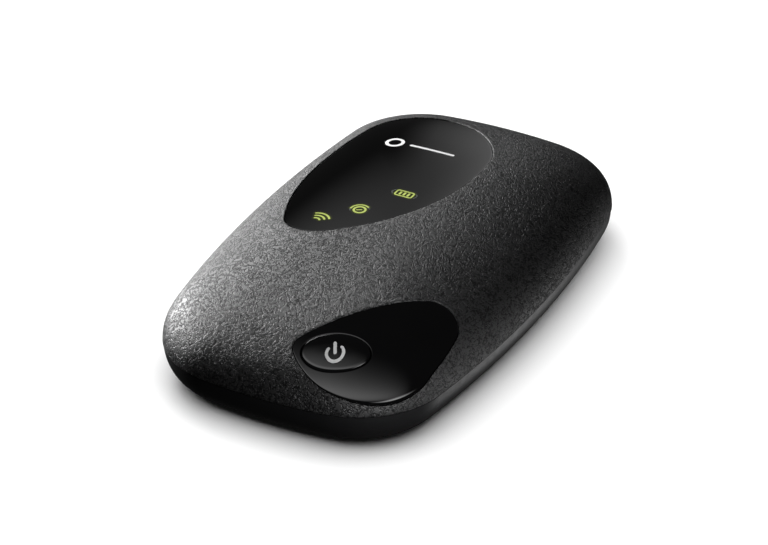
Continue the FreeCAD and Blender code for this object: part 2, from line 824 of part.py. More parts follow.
def mid_frame():
    """Tray between the covers: plate, edge skirt, battery bay walls and openings."""
    body = new_body("mid_frame")
    plate = sketch_at(body, "frame_outline", "frame_base")
    draw_inset_pebble(plate, "frame_inset")
    pad(body, plate, "frame_plate")
    skirt = sketch_at(body, "frame_skirt", "skirt_low")
    draw_inset_pebble(skirt, "frame_inset")
    draw_inset_pebble(skirt, "frame_inset + skirt_wall")
    pad(body, skirt, "frame_base - skirt_low")
    bay = sketch_at(body, "frame_bay", "bay_low")
    for grow in ("2*(bay_gap + bay_wall)", "2*bay_gap"):
        draw_rectangle(bay, "0", "battery_y", f"battery_width + {grow}", f"battery_length + {grow}")
    pad(body, bay, "frame_base - bay_low")
    bosses = sketch_at(body, "frame_bosses", FRAME_TOP)
    for x, y in SCREW_SPOTS:
        draw_circle(bosses, x, y, "boss_r - boss_step")
    pad(body, bosses, f"board_base - ({FRAME_TOP})")

    holes = sketch_at(body, "frame_screw_holes", "frame_base")
    for x, y in SCREW_SPOTS:
        draw_circle(holes, x, y, "screw_clear_r")
    draw_circle(holes, "reset_x", "reset_y", "reset_hole_r")
    pocket(body, holes, "board_base - frame_base", up=True)
    windows = sketch_at(body, "frame_windows", "frame_base")
    size = ("frame_window_length", "socket_width + frame_window_margin")
    draw_rectangle(windows, "frame_window_x", "card_y", *size)
    pocket(body, windows, "frame_plate", up=True)
    gate = sketch_at(body, "frame_plug_gate", "bay_low")
    size = ("plug_width + gate_clear", "gate_depth")
    draw_rectangle(gate, "plug_x", f"{BATTERY_FRONT} - gate_shift", *size)
    pocket(body, gate, f"{FRAME_TOP} - bay_low", up=True)
    slots = sketch_at(body, "frame_rib_slots", "skirt_low")
    for side in ("", "-"):
        for end in ("", "-"):
            spot = (f"{side}(rib_inner_x + slot_shift)", f"{end}rib_centre_y")
            draw_rectangle(slots, *spot, "slot_width", "rib_length + slot_extra")
    pocket(body, slots, "frame_base - skirt_low", up=True)
    finger = sketch_at(body, "frame_finger_gap", "bay_low")
    middle = "battery_y + battery_length/2 + finger_shift"
    draw_rectangle(finger, "0", middle, "finger_width", "finger_reach")
    pocket(body, finger, "frame_base - bay_low", up=True)
    return body


def screws():
    """Six identical self-tapping screws: head under the frame, shank up into a cover boss."""
    pieces = []
    for number, (x, y) in enumerate(SCREW_SPOTS):
        low = "frame_base - screw_head"
        head = cylinder(f"head_{number}", x, y, low, "screw_head_r", "screw_head")
        shank = cylinder(f"shank_{number}", x, y, "frame_base", "screw_r", "screw_length")
        drive = box(f"drive_{number}", x, y, low, "drive_length", "drive_width", "drive_depth")
        cross = box(f"cross_{number}", x, y, low, "drive_width", "drive_length", "drive_depth")
        pieces.append(cut(f"screw_{number}", fuse(f"screw_blank_{number}", head, shank), drive, cross))
    return group("frame_screws", pieces)


def main_board():
    """Circuit board, trimmed straight at the front and drilled for the screws."""
    body = new_body("main_pcb")
    outline = sketch_at(body, "board_outline", "board_base")
    draw_inset_pebble(outline, "board_inset")
    pad(body, outline, "board_thickness")
    trim = sketch_at(body, "board_trim", BOARD_TOP)
    draw_rectangle(trim, "0", "board_front - 5", "2*half_width", "10")
    pocket(body, trim, "board_thickness")
    holes = sketch_at(body, "board_holes", BOARD_TOP)
    for x, y in SCREW_SPOTS:
        draw_circle(holes, x, y, "screw_clear_r")
    pocket(body, holes, "board_thickness")
    return body


def shield_can(name):
    """Folded metal lid over a group of chips, open at the board."""
    x, y, length, width, height = BOARD_PARTS[name]
    outer = box(f"{name}_outer", x, y, BOARD_TOP, length, width, height)
    room = (f"{length} - 2*can_sheet", f"{width} - 2*can_sheet", f"{height} - can_sheet")
    inner = box(f"{name}_inner", x, y, BOARD_TOP, *room)
    return cut(name, outer, inner)


def chip(name):
    x, y, length, width, height = BOARD_PARTS[name]
    return box(name, x, y, BOARD_TOP, length, width, height)


def thermal_pad():
    """Soft pad between the modem chip and its shield."""
    x, y, length, width, height = BOARD_PARTS["thermal_pad"]
    chip_height = BOARD_PARTS["modem_chip"][-1]
    low = f"{BOARD_TOP} + {chip_height} + pad_gap"
    return box("thermal_pad", x, y, low, length, width, height)


def chip_group(name, spots, length, width, height):
    """Several equal parts on the board."""
    size = (length, width, height)
    pieces = [box(f"{name}_{i}", x, y, BOARD_TOP, *size) for i, (x, y) in enumerate(spots)]
    return group(name, pieces)


def light_guide():
    """Clear moulding: three light posts held together by a web."""
    posts = []
    for number, (x, y) in enumerate(LAMP_SPOTS):
        low = f"{BOARD_TOP} + lamp_height + lamp_gap"
        posts.append(cylinder(f"guide_post_{number}", x, y, low, "guide_r", "body_height"))
    limit = sunk_dome("guide_limit", f"{RECESS_DEPTH} + gloss_gap")
    tops = common("guide_posts", fuse("guide_rods", *posts), limit)
    web = prism(
        "guide_web_slab",
        draw_slot,
        LAMP_SPOTS[0],
        LAMP_SPOTS[2],
        "shield_r - web_inset",
        base="guide_web_base",
        height="guide_web",
    )
    return fuse("light_guide", tops, web)


def light_shield():
    """Black block with a shaft for each lamp, so that one lamp doesn't light its neighbour."""
    block = prism(
        "shield_block",
        draw_slot,
        LAMP_SPOTS[0],
        LAMP_SPOTS[2],
        "shield_r",
        base=f"{BOARD_TOP} + shield_gap",
        height=f"guide_web_base - ({BOARD_TOP}) - web_gap",
    )
    shafts = [
        cylinder(f"shaft_{i}", x, y, "board_base", "guide_r + guide_clear", "body_height")
        for i, (x, y) in enumerate(LAMP_SPOTS)
    ]
    return cut("light_shield", block, *shafts)


def antenna(name, x, y, length, width):
    """A plastic carrier that rises close to the cover, and the metal foil with its slots on top."""
    base = f"{BOARD_TOP} + shield_gap"
    block = box(f"{name}_block", x, y, base, length, width, "body_height")
    room = (f"{length} - 2*carrier_wall", f"{width} - 2*carrier_wall")
    depth = "board_thickness + carrier_room"
    hollow = box(f"{name}_hollow", x, y, "board_base", *room, depth)
    carrier_top = sunk_dome(f"{name}_carrier_top", "carrier_drop", inner_dome)
    solid = common(f"{name}_carrier_solid", block, carrier_top)
    carrier = cut(f"{name}_carrier", solid, hollow)
    size = (f"{length} - 2*foil_inset", f"{width} - 2*foil_inset", "body_height")
    foil = box(f"{name}_foil", x, y, "board_base", *size)
    gap = ("foil_slot", f"{width} - foil_bridge", "body_height")
    slots = [
        box(f"{name}_slot_{i}", f"{x} + {shift}", f"{y} + {lean}", "board_base", *gap)
        for i, (shift, lean) in enumerate(FOIL_SLOT_SHIFTS)
    ]
    strip = cut(f"{name}_strip", foil, *slots)
    return carrier, layer(name, strip, "foil_drop", "foil_thickness", inner_dome)


def wifi_antennas():
    """Two stamped antennas: an upright foot on the board and a raised arm."""
    pieces = []
    foot_size = ("wifi_foot_width", "wifi_foot_length", "wifi_foot_height")
    arm_size = ("wifi_arm_width", "wifi_arm_length", "wifi_arm_thickness")
    for number, (x, y) in enumerate(WIFI_ANTENNA_SPOTS):
        foot = box(f"wifi_foot_{number}", x, y, BOARD_TOP, *foot_size)
        low = f"{BOARD_TOP} + wifi_foot_height - wifi_arm_thickness"
        arm = box(f"wifi_arm_{number}", x, f"{y} + wifi_arm_shift", low, *arm_size)
        pieces.append(fuse(f"wifi_antenna_{number}", foot, arm))
    return group("wifi_antennas", pieces)


# ---- charging port -----------------------------------------------------------


def charging_port():
    """Folded metal shell, plastic tongue and five contacts, open towards +Y."""
    middle_y = "port_mouth_y - port_depth/2"
    outer = box("port_outer", "0", middle_y, BOARD_TOP, "port_width", "port_depth", "port_height")
    inner = box(
        "port_inner",
        "0",
        f"{middle_y} + port_sheet",
        f"{BOARD_TOP} + port_sheet",
        "port_width - 2*port_sheet",
        "port_depth + 0.2",
        "port_height - 2*port_sheet",
    )
    shell = cut("usb_shell", outer, inner)
    low = f"{BOARD_TOP} + port_sheet + port_fit"
    root_size = (
        "port_width - 2*port_sheet - 2*port_fit",
        "tongue_root",
        "port_height - 2*port_sheet - 2*port_fit",
    )
    root_y = "port_mouth_y - port_depth + tongue_root_shift"
    root = box("tongue_root_block", "0", root_y, low, *root_size)
    blade_size = ("tongue_width", "tongue_length", "tongue_thickness")
    blade = box("tongue_blade", "0", "port_mouth_y - tongue_middle", f"{low} + tongue_rise", *blade_size)
    tongue = fuse("usb_tongue", root, blade)
    size = ("usb_contact_width", "usb_contact_length", "usb_contact_thickness")
    height = f"{low} + tongue_rise - usb_contact_thickness"
    contacts = [
        box(f"usb_contact_{i}", f"{i - 2}*usb_pitch", "port_mouth_y - usb_contact_middle", height, *size)
        for i in range(5)
    ]
    return shell, tongue, group("usb_contacts", contacts)


# ---- subscriber card ---------------------------------------------------------


def card_spots():
    """Where the card's six contacts are: two rows of three."""
    return [
        (f"card_x + {column}*sim_pitch_x", f"card_y + {row}*sim_pitch_y")
        for row in (-1, 1)
        for column in (-1, 0, 1)
    ]


def sim_socket():
    """Socket under the board: plastic base, six spring contacts and a folded metal cover."""
    x = "card_x + socket_shift"
    base_size = ("socket_length - socket_base_inset", "socket_width - socket_base_margin", "socket_base")
    base = box("sim_socket_base", x, "card_y", "board_base - socket_base", *base_size)
    low = "card_base - socket_open"
    cover_size = ("socket_length", "socket_width", "board_base - card_base + socket_open")
    outer = box("sim_cover_outer", x, "card_y", low, *cover_size)
    room = ("socket_length", "socket_width - 2*socket_sheet", "board_base - card_base + 1")
    inner = box("sim_cover_inner", f"{x} - socket_open", "card_y", f"{low} + socket_sheet", *room)
    gap = ("socket_window_length", "socket_window_width", "socket_window_height")
    window = box("sim_cover_window", "card_x", "card_y", "card_base - socket_window_height/2", *gap)
    top = "card_base + card_thickness + sim_fit"
    size = ("sim_contact_width", "sim_contact_length", f"board_base - socket_base - ({top})")
    contacts = [box(f"sim_contact_{i}", *spot, top, *size) for i, spot in enumerate(card_spots())]
    return base, cut("sim_socket_shell", outer, inner, window), group("sim_contacts", contacts)


def sim_card():
    """Card with one cut corner, and its six contact pads let into the face towards the board."""
    body = new_body("sim_card")
    outline = sketch_at(body, "card_outline", "card_base")
    draw_rectangle(outline, "card_x", "card_y", "card_length", "card_width")
    slab = pad(body, outline, "card_thickness")
    right = value("card_x + card_length/2")
    top = value("card_y + card_width/2")
    bevel = body.newObject("PartDesign::Chamfer", "card_bevel")
    edges = [
        f"Edge{i}"
        for i, edge in enumerate(slab.Shape.Edges, start=1)
        if all(abs(v.X - right) < NEAR and abs(v.Y - top) < NEAR for v in edge.Vertexes)
    ]
    bevel.Base = (slab, edges)
    bevel.setExpression("Size", ref("card_corner"))
    doc.recompute()
    face = "card_base + card_thickness"
    beds = sketch_at(body, "card_pad_beds", face)
    for x, y in card_spots():
        draw_rectangle(beds, x, y, "sim_pad_width + 2*sim_fit", "sim_pad_length + 2*sim_fit")
    pocket(body, beds, "sim_pad_depth")
    size = ("sim_pad_width", "sim_pad_length", "sim_pad_thickness")
    low = f"{face} - sim_pad_depth"
    pads = [box(f"sim_pad_{i}", *spot, low, *size) for i, spot in enumerate(card_spots())]
    return body, group("sim_pads", pads)


# ---- battery -----------------------------------------------------------------

PLUG_OFFSETS = (-1, 0, 1)


def bay_label():
    """Plain label on the roof of the battery bay."""
    size = ("bay_label_length", "bay_label_width", "label_thickness")
    return box("bay_label", "0", "battery_y", "frame_base - label_thickness", *size)


def blade_x(number):
    return f"plug_x + {number}*plug_pitch"


def battery():
    """Flat cell with rounded sides, three contact pads in its front face and a plain label below."""
    cell = new_body("battery_cell")
    outline = sketch_at(cell, "battery_outline", "battery_base")
    draw_rectangle(outline, "0", "battery_y", "battery_width", "battery_length")
    block = pad(cell, outline, "battery_thickness")
    middle = value("battery_base + battery_thickness/2")
    rounded = fillet_edges(cell, block, lambda point: abs(point.z - middle) < NEAR, "battery_round")
    faces = (value("battery_base"), value("battery_base + battery_thickness"))
    fillet_edges(
        cell,
        rounded,
        lambda point: min(abs(point.z - height) for height in faces) < NEAR,
        "cell_edge_round",
    )
    low = "blade_base + blade_height/2 - pad_height/2"
    pads = []
    beds = []
    for number in PLUG_OFFSETS:
        x = blade_x(number)
        bed_y = f"{BATTERY_FRONT} + pad_bed/2"
        pad_y = f"{BATTERY_FRONT} + pad_bed - pad_thickness/2"
        bed_size = ("pad_width", "pad_bed", "pad_height")
        pad_size = ("pad_width", "pad_thickness", "pad_height")
        beds.append(box(f"pad_bed_{number + 1}", x, bed_y, low, *bed_size))
        pads.append(box(f"battery_pad_{number + 1}", x, pad_y, low, *pad_size))
    label_size = ("battery_width - label_margin_x", "battery_length - label_margin_y", "label_thickness")
    label = box("battery_label", "0", "battery_y", "battery_base - label_thickness", *label_size)
    return cut("battery_pack", cell, *beds), group("battery_pads", pads), label


def battery_connector():
    """Block that hangs from the board at the bay's front wall, with three sprung blades."""
    face = f"{BATTERY_FRONT} - plug_back"
    size = ("plug_width", "plug_depth", "board_base - bay_low")
    block = box("plug_block", "plug_x", f"{face} - plug_depth/2", "bay_low", *size)
    slot_size = ("blade_width + 2*slot_clear", "slot_depth", "blade_height + 2*slot_clear")
    blade_size = ("blade_width", "blade_depth", "blade_height")
    blade_y = f"{BATTERY_FRONT} - blade_tip_gap - blade_depth/2"
    slots = []
    blades = []
    for number in PLUG_OFFSETS:
        x = blade_x(number)
        low = "blade_base - slot_clear"
        slots.append(box(f"plug_slot_{number + 1}", x, f"{face} - slot_setback", low, *slot_size))
        blades.append(box(f"battery_blade_{number + 1}", x, blade_y, "blade_base", *blade_size))
    return cut("battery_connector", block, *slots), group("battery_blades", blades)


# ---- switches ----------------------------------------------------------------


def power_switch():
    """Small push switch under the key: a housing with a bore, and its plunger."""
    size = ("switch_size", "switch_size", "switch_height")
    block = box("power_switch_block", "key_x", "key_y", BOARD_TOP, *size)
    bore_low = f"{BOARD_TOP} + switch_height - switch_bore"
    bore = cylinder("power_switch_bore", "key_x", "key_y", bore_low, "switch_bore_r", "switch_height")
    stem = ("key_x", "key_y", PLUNGER_BASE, "plunger_r", "plunger_height")
    return cut("power_switch_body", block, bore), cylinder("power_switch_plunger", *stem)


def reset_switch():
    """The same kind of switch under the board, pressed upwards with a pin."""
    low = "board_base - reset_height"
    size = ("reset_size", "reset_size", "reset_height")
    block = box("reset_switch_block", "reset_x", "reset_y", low, *size)
    bore_size = (f"{low} - reset_bore", "reset_bore_r", "2*reset_bore")
    bore = cylinder("reset_switch_bore", "reset_x", "reset_y", *bore_size)
    stem = ("reset_x", "reset_y", f"{low} - reset_proud", "reset_plunger_r", "reset_plunger_height")
    return cut("reset_switch_body", block, bore), cylinder("reset_switch_plunger", *stem)


# ---- assembly ----------------------------------------------------------------


def build():
    """Every separate piece of the hotspot, by node name."""
    plate_hole = oval("plate_key_hole", "key_gap")
    tape_hole = oval("tape_key_hole", "key_gap + key_tape_clear")
    parts = {
        "upper_cover": upper_cover(),
        "indicator_window": gloss_part("indicator_window", WINDOW_CORNERS, WINDOW_SIDES),
        "window_adhesive": tape_ring("window_adhesive", WINDOW_CORNERS, WINDOW_SIDES),
        "key_plate": gloss_part("key_plate", PLATE_CORNERS, PLATE_SIDES, plate_hole),
        "plate_adhesive": tape_ring("plate_adhesive", PLATE_CORNERS, PLATE_SIDES, tape_hole),
        "power_key": power_key(),
        "back_cover": back_cover(),
        "mid_frame": mid_frame(),
        "frame_screws": screws(),
        "main_pcb": main_board(),
        "thermal_pad": thermal_pad(),
        "power_amplifiers": chip_group("power_amplifiers", AMPLIFIER_SPOTS, *AMPLIFIER_SIZE),
        "power_inductors": chip_group("power_inductors", INDUCTOR_SPOTS, *INDUCTOR_SIZE),
        "status_leds": chip_group("status_leds", LAMP_SPOTS, "lamp_length", "lamp_width", "lamp_height"),
        "light_guide": light_guide(),
        "light_shield": light_shield(),
        "wifi_antennas": wifi_antennas(),
        "bay_label": bay_label(),
    }
    for name in ("modem_shield", "radio_shield", "wifi_shield"):
        parts[name] = shield_can(name)
    for name in ("modem_chip", "memory_chip", "radio_chip", "wifi_chip", "power_chip"):
        parts[name] = chip(name)
    main = antenna("main_antenna", *MAIN_ANTENNA)
    parts["main_antenna_carrier"], parts["main_antenna"] = main
    diversity = antenna("diversity_antenna", *DIVERSITY_ANTENNA)
    parts["diversity_antenna_carrier"], parts["diversity_antenna"] = diversity
    parts["usb_shell"], parts["usb_tongue"], parts["usb_contacts"] = charging_port()
    parts["sim_socket_base"], parts["sim_socket_shell"], parts["sim_contacts"] = sim_socket()
    parts["sim_card"], parts["sim_pads"] = sim_card()
    parts["battery_pack"], parts["battery_pads"], parts["battery_label"] = battery()
    parts["battery_connector"], parts["battery_blades"] = battery_connector()
    parts["power_switch_body"], parts["power_switch_plunger"] = power_switch()
    parts["reset_switch_body"], parts["reset_switch_plunger"] = reset_switch()
    return parts


def check(parts):
    """Stops if any feature failed or any piece is empty or broken."""
    for thing in doc.Objects:
        if {"Invalid", "Error"} & set(thing.State):
            raise RuntimeError(f"{thing.Name} failed: {thing.State}")
    for name, piece in parts.items():
        if piece.Shape.isNull() or not piece.Shape.Solids or not piece.Shape.isValid():
            raise RuntimeError(f"{name} has no valid solid")


parts = build()
for name, piece in parts.items():
    piece.Label = name
doc.recompute()
check(parts)
os.makedirs("parts", exist_ok=True)
for name, piece in parts.items():
    piece.Shape.exportStep(f"parts/{name}.step")
    print(f"{name}: {len(piece.Shape.Solids)} solid(s), {piece.Shape.Volume:.1f} mm3")
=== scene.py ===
import json
import math

import bmesh
import bpy
import numpy as np
from mathutils import Matrix, Vector, noise


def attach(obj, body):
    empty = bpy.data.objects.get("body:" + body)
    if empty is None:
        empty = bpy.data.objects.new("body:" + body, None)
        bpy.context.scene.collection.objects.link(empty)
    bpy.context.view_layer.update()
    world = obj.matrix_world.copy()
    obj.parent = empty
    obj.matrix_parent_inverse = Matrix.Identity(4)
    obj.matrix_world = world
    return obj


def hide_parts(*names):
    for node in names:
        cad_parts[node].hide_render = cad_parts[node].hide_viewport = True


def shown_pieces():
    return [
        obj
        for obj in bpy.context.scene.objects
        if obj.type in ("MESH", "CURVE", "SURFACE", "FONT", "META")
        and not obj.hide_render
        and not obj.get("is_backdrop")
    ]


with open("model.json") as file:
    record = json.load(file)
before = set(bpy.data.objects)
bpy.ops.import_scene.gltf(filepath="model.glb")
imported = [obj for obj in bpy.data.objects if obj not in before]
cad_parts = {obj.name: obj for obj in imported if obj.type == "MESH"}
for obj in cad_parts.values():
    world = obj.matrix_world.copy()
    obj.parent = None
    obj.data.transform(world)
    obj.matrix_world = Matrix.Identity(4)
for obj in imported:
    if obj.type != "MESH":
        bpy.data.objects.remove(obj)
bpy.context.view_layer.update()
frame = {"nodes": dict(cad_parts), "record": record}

# Looks of a pocket 4G hotspot. Shape values are in millimetres and turn into metres in new_piece().
# +X is the device's right side, +Y the end with the charging port, +Z up.

MM = 0.001

# Pebble outline and the dome that rises from it
HALF_WIDTH = 28.35
HALF_LENGTH = 47.0
SIDE_RADIUS = 222.0
END_RADIUS = 92.0
CORNER_RADIUS = 16.4
BODY_HEIGHT = 19.8
PARTING_HEIGHT = 7.4
DOME_REACH_X = 26.0
DOME_REACH_Y = 38.0
DOME_POWER = 2.3
CAP_CORNER = 1.9
CAP_END_RADIUS = 30.0
SIDE_EASING = 0.4
WALL = 1.8

# Gloss parts: three corner circles (x, y, radius) and the radii of the sides that join them
WINDOW_CORNERS = ((-10.3, -6.5, 6.5), (-1.7, 21.5, 9.2), (-7.7, 25.3, 11.4))
WINDOW_SIDES = (36.8, 21.6, 51.2)
PLATE_CORNERS = ((5.0, -39.8, 2.4), (14.7, -33.1, 10.1), (20.7, -23.7, 4.0))
PLATE_SIDES = (12.8, 59.8, 132.7)
GLOSS_GAP = 0.1
GLOSS_SINK = 0.12
GLOSS_THICKNESS = 1.0
GLOSS_ROUND = 0.14
HOLE_ROUND = 0.16

# Power key
KEY_CENTRE = (10.2, -39.1)
KEY_ANGLE = math.radians(17.0)
KEY_SEMI = (5.8, 3.4)
KEY_GAP = 0.18
KEY_PROUD = 0.1
KEY_CROWN = 0.35
KEY_ROUND = 0.35
KEY_FLANGE_TOP = 2.5

# Charging port mouth in the end wall
MOUTH_HEIGHT = 11.6
MOUTH_SEMI = (4.7, 1.8)

# Mesh and grain: spacing of the cover's rings, and the leather grain pressed into them
GRID = 0.27
SEAM_ROUND = 0.25
GRAIN_CELL = 0.72
GRAIN_DEPTH = 0.012
GRAIN_CREASE = 0.30
DOME_HALVINGS = 34
DOME_SAMPLES = 3000
MERGE_DISTANCE = 0.002

# Recesses in the cover for the gloss parts
RECESS_ROUND = 0.09
RECESS_CLEARANCE = 0.1
OUTLINE_POINTS = 480

# Printed symbols: their height above the surface, the way the turned ones face, and their places
INK_LIFT = 0.012
INK_THICKNESS = 0.003
FACING = math.radians(28.0)
WIRELESS_SYMBOL = (-10.35, -9.15)
NETWORK_SYMBOL = (-4.75, -2.95)
NETWORK_BRIM = 1.68
BATTERY_SYMBOL = (-0.35, 5.3)
PLAIN_MARK = (-10.9, 21.7)
POWER_SYMBOL = (10.45, -39.85)

# Studio: place, aim, size and radiance of each softbox, by the parts that it lights
CENTRE = (0, 0, 10)
WINDOW_MIDDLE = (12, 0, 65)
KEY_MIDDLE = (14, -35, 12)
FLOOR_LIGHTS = {
    "floor_overhead": ((0, 0, 600), CENTRE, (1100, 1100), 2.5),
    "floor_left": ((-350, 250, 450), CENTRE, (300, 300), 3.2),
}
MATT_LIGHTS = {
    "left_low": ((-450, 120, 110), CENTRE, (300, 220), 104.0),
    "left_back": ((-315, 265, 250), CENTRE, (300, 220), 32.0),
    "right_low": ((420, 155, 90), CENTRE, (300, 120), 6.0),
    "front_right": ((56, -64, 31), (27, -38, 9), (28, 28), 76.0),
}
UNDERSIDE_LIGHT = ((300, 400, -300), CENTRE, (400, 400), 4.0)
WINDOW_LIGHTS = {
    "window_right": ((12, 110, 65), WINDOW_MIDDLE, (155, 190), 1.2),
    "window_top": ((-80, 118, 165), (-80, 0, 165), (380, 220), 0.65),
}
KEY_LIGHTS = {
    "key_overhead": ((-200, -310, 210), (-200, -310, 0), (2600, 660), 1.9),
    "key_back": ((-300, 250, 150), KEY_MIDDLE, (260, 160), 9.0),
    "key_side": ((330, -180, 60), KEY_MIDDLE, (420, 110), 6.0),
}
WORLD_STRENGTH = 0.022

# Camera, fitted to the photograph's view of the case
CAMERA_AZIMUTH = math.radians(28.21)
CAMERA_ELEVATION = math.radians(31.143)
CAMERA_ROLL = math.radians(-0.518)
CAMERA_DISTANCE = 802.0
CAMERA_LENS = 216.57
CAMERA_SHIFT = (-0.0109, -0.0211)


# ---- outlines ----------------------------------------------------------------


def touching(ax, ay, a_reach, bx, by, b_reach):
    """The point at the two given distances from a and b, on the left of the way from a to b."""
    span = np.hypot(bx - ax, by - ay)
    ux, uy = (bx - ax) / span, (by - ay) / span
    forward = (a_reach**2 - b_reach**2 + span**2) / (2 * span)
    sideways = np.sqrt(a_reach**2 - forward**2)
    return ax + ux * forward - uy * sideways, ay + uy * forward + ux * sideways


def dome_level(angle):
    """Half width, half length and arc radii of the dome's outline, and its height, at a dome angle."""
    spread = np.cos(angle) ** (2 / DOME_POWER)
    shrink = 1 - spread
    outline = (
        HALF_WIDTH - DOME_REACH_X * shrink,
        HALF_LENGTH - DOME_REACH_Y * shrink,
        SIDE_RADIUS * (1 - SIDE_EASING * shrink),
        END_RADIUS * spread + CAP_END_RADIUS * shrink,
        CORNER_RADIUS * spread + CAP_CORNER * shrink,
    )
    rise = np.sin(angle) ** (2 / DOME_POWER)
    return outline, PARTING_HEIGHT + (BODY_HEIGHT - PARTING_HEIGHT) * rise


def inset_outline(inset):
    """The case's widest outline, moved inwards."""
    return tuple(size - inset for size in (HALF_WIDTH, HALF_LENGTH, SIDE_RADIUS, END_RADIUS, CORNER_RADIUS))


def corner_centre(outline):
    half_width, half_length, side, end, corner = outline
    return touching(half_width - side, 0.0, side - corner, 0.0, half_length - end, end - corner)


def pebble_arcs(outline):
    """The outline as (centre x, centre y, radius, start angle, sweep), from the +X axis round."""
    half_width, half_length, side, end, corner = outline
    x, y = corner_centre(outline)
    low = math.atan2(y, x - half_width + side)
    high = math.atan2(y - half_length + end, x)
    turn = math.pi
    return [
        (half_width - side, 0, side, 0, low),
        (x, y, corner, low, high - low),
        (0, half_length - end, end, high, turn - 2 * high),
        (-x, y, corner, turn - high, high - low),
        (side - half_width, 0, side, turn - low, 2 * low),
        (-x, -y, corner, turn + low, high - low),
        (0, end - half_length, end, turn + high, turn - 2 * high),
        (x, -y, corner, -high, high - low),
        (half_width - side, 0, side, -low, low),
    ]


def three_corner_arcs(corners, sides, inset):
    """Rounded triangle: corner circles, each pair joined by a side arc around both."""
    rows = []
    circles = [(x, y, radius - inset) for x, y, radius in corners]
    centres = []
    for i, side in enumerate(sides):
        (ax, ay, ar), (bx, by, br) = circles[i], circles[(i + 1) % 3]
        reach = side - inset
        centres.append((*touching(ax, ay, reach - ar, bx, by, reach - br), reach))
    for i, (x, y, radius) in enumerate(circles):
        before, after = centres[i - 1], centres[i]
        following = circles[(i + 1) % 3]
        enter = math.atan2(y - before[1], x - before[0])
        leave = math.atan2(y - after[1], x - after[0])
        arrive = math.atan2(following[1] - after[1], following[0] - after[0])
        rows.append((x, y, radius, enter, (leave - enter) % (2 * math.pi)))
        rows.append((after[0], after[1], after[2], leave, (arrive - leave) % (2 * math.pi)))
    return rows


def walk(arcs, count):
    """Points at even spacing along a closed chain of arcs."""
    table = np.array(arcs, float)
    lengths = table[:, 2] * table[:, 4]
    ends = np.cumsum(lengths)
    at = np.arange(count) * ends[-1] / count
    index = np.minimum(np.searchsorted(ends, at, side="right"), len(arcs) - 1)
    row = table[index]
    angle = row[:, 3] + (at - ends[index] + lengths[index]) / row[:, 2]
    return np.column_stack((row[:, 0] + row[:, 2] * np.cos(angle), row[:, 1] + row[:, 2] * np.sin(angle)))


def perimeter(arcs):
    return sum(radius * sweep for _, _, radius, _, sweep in arcs)


def pebble_reach(x, y, outline):
    """Distance outside a pebble outline; below zero inside it."""
    half_width, half_length, side, end, corner = outline
    x, y = np.abs(x), np.abs(y)
    side_x, end_y = half_width - side, half_length - end
    cx, cy = corner_centre(outline)
    by_side = y * (cx - side_x) <= (x - side_x) * cy
    by_end = x * (cy - end_y) <= (y - end_y) * cx
    side_reach = np.hypot(x - side_x, y) - side
    end_reach = np.hypot(x, y - end_y) - end
    corner_reach = np.hypot(x - cx, y - cy) - corner
    reach = np.where(by_side, side_reach, np.where(by_end, end_reach, corner_reach))
    return np.where(by_side & by_end, np.maximum(side_reach, end_reach), reach)


def skin(points):
    """Height of the dome above each plan point."""
    points = np.asarray(points, float)
    x, y = points[:, 0], points[:, 1]
    low = np.zeros(len(x))
    high = np.full(len(x), math.pi / 2)
    for _ in range(DOME_HALVINGS):
        middle = (low + high) / 2
        inside = pebble_reach(x, y, dome_level(middle)[0]) < 0
        low = np.where(inside, middle, low)
        high = np.where(inside, high, middle)
    return dome_level((low + high) / 2)[1]


def convex_reach(points, outline):
    """Distance outside a convex outline, given as points in order, and the outward direction there."""
    step = np.roll(outline, -1, axis=0) - outline
    normals = np.column_stack((step[:, 1], -step[:, 0]))
    normals /= np.linalg.norm(normals, axis=1)[:, None]
    best = np.full(len(points), -1e9)
    toward = np.zeros((len(points), 2))
    for corner, normal in zip(outline, normals):
        reach = (points - corner) @ normal
        nearer = reach > best
        best[nearer] = reach[nearer]
        toward[nearer] = normal
    return best, toward


# ---- meshes ------------------------------------------------------------------


def new_piece(name, points, faces, sharp=35.0):
    """A smooth-shaded object from points in millimetres. Edges sharper than `sharp` degrees stay crisp."""
    mesh = bpy.data.meshes.new(name)
    scaled = [tuple(point) for point in np.asarray(points, float) * MM]
    mesh.from_pydata(scaled, [], [tuple(map(int, face)) for face in faces])
    work = bmesh.new()
    work.from_mesh(mesh)
    bmesh.ops.remove_doubles(work, verts=work.verts, dist=MERGE_DISTANCE * MM)
    work.to_mesh(mesh)
    work.free()
    mesh.shade_smooth()
    mesh.set_sharp_from_angle(angle=math.radians(sharp))
    made = bpy.data.objects.new(name, mesh)
    bpy.context.scene.collection.objects.link(made)
    return made


def stitch(first, first_count, second, second_count):
    """Triangles between two closed rings of vertices that may hold different numbers of them."""
    faces = []
    i = j = 0
    while i < first_count or j < second_count:
        here = first + i % first_count
        there = second + j % second_count
        first_is_behind = i < first_count and (i + 1) / first_count <= (j + 1) / second_count
        if j >= second_count or first_is_behind:
            faces.append((here, first + (i + 1) % first_count, there))
            i += 1
        else:
            faces.append((here, second + (j + 1) % second_count, there))
            j += 1
    return faces


def ring_stack(rings, closed_top=True):
    """Points and triangles of a surface through closed rings, from the outermost to the innermost."""
    starts = np.cumsum([0] + [len(ring) for ring in rings])
    faces = []
    for i in range(len(rings) - 1):
        faces += stitch(starts[i], len(rings[i]), starts[i + 1], len(rings[i + 1]))
    points = np.vstack(rings)
    if closed_top:
        middle = len(points)
        last, count = starts[-2], len(rings[-1])
        points = np.vstack((points, rings[-1].mean(axis=0)))
        faces += [(last + i, last + (i + 1) % count, middle) for i in range(count)]
    return points, np.array(faces)


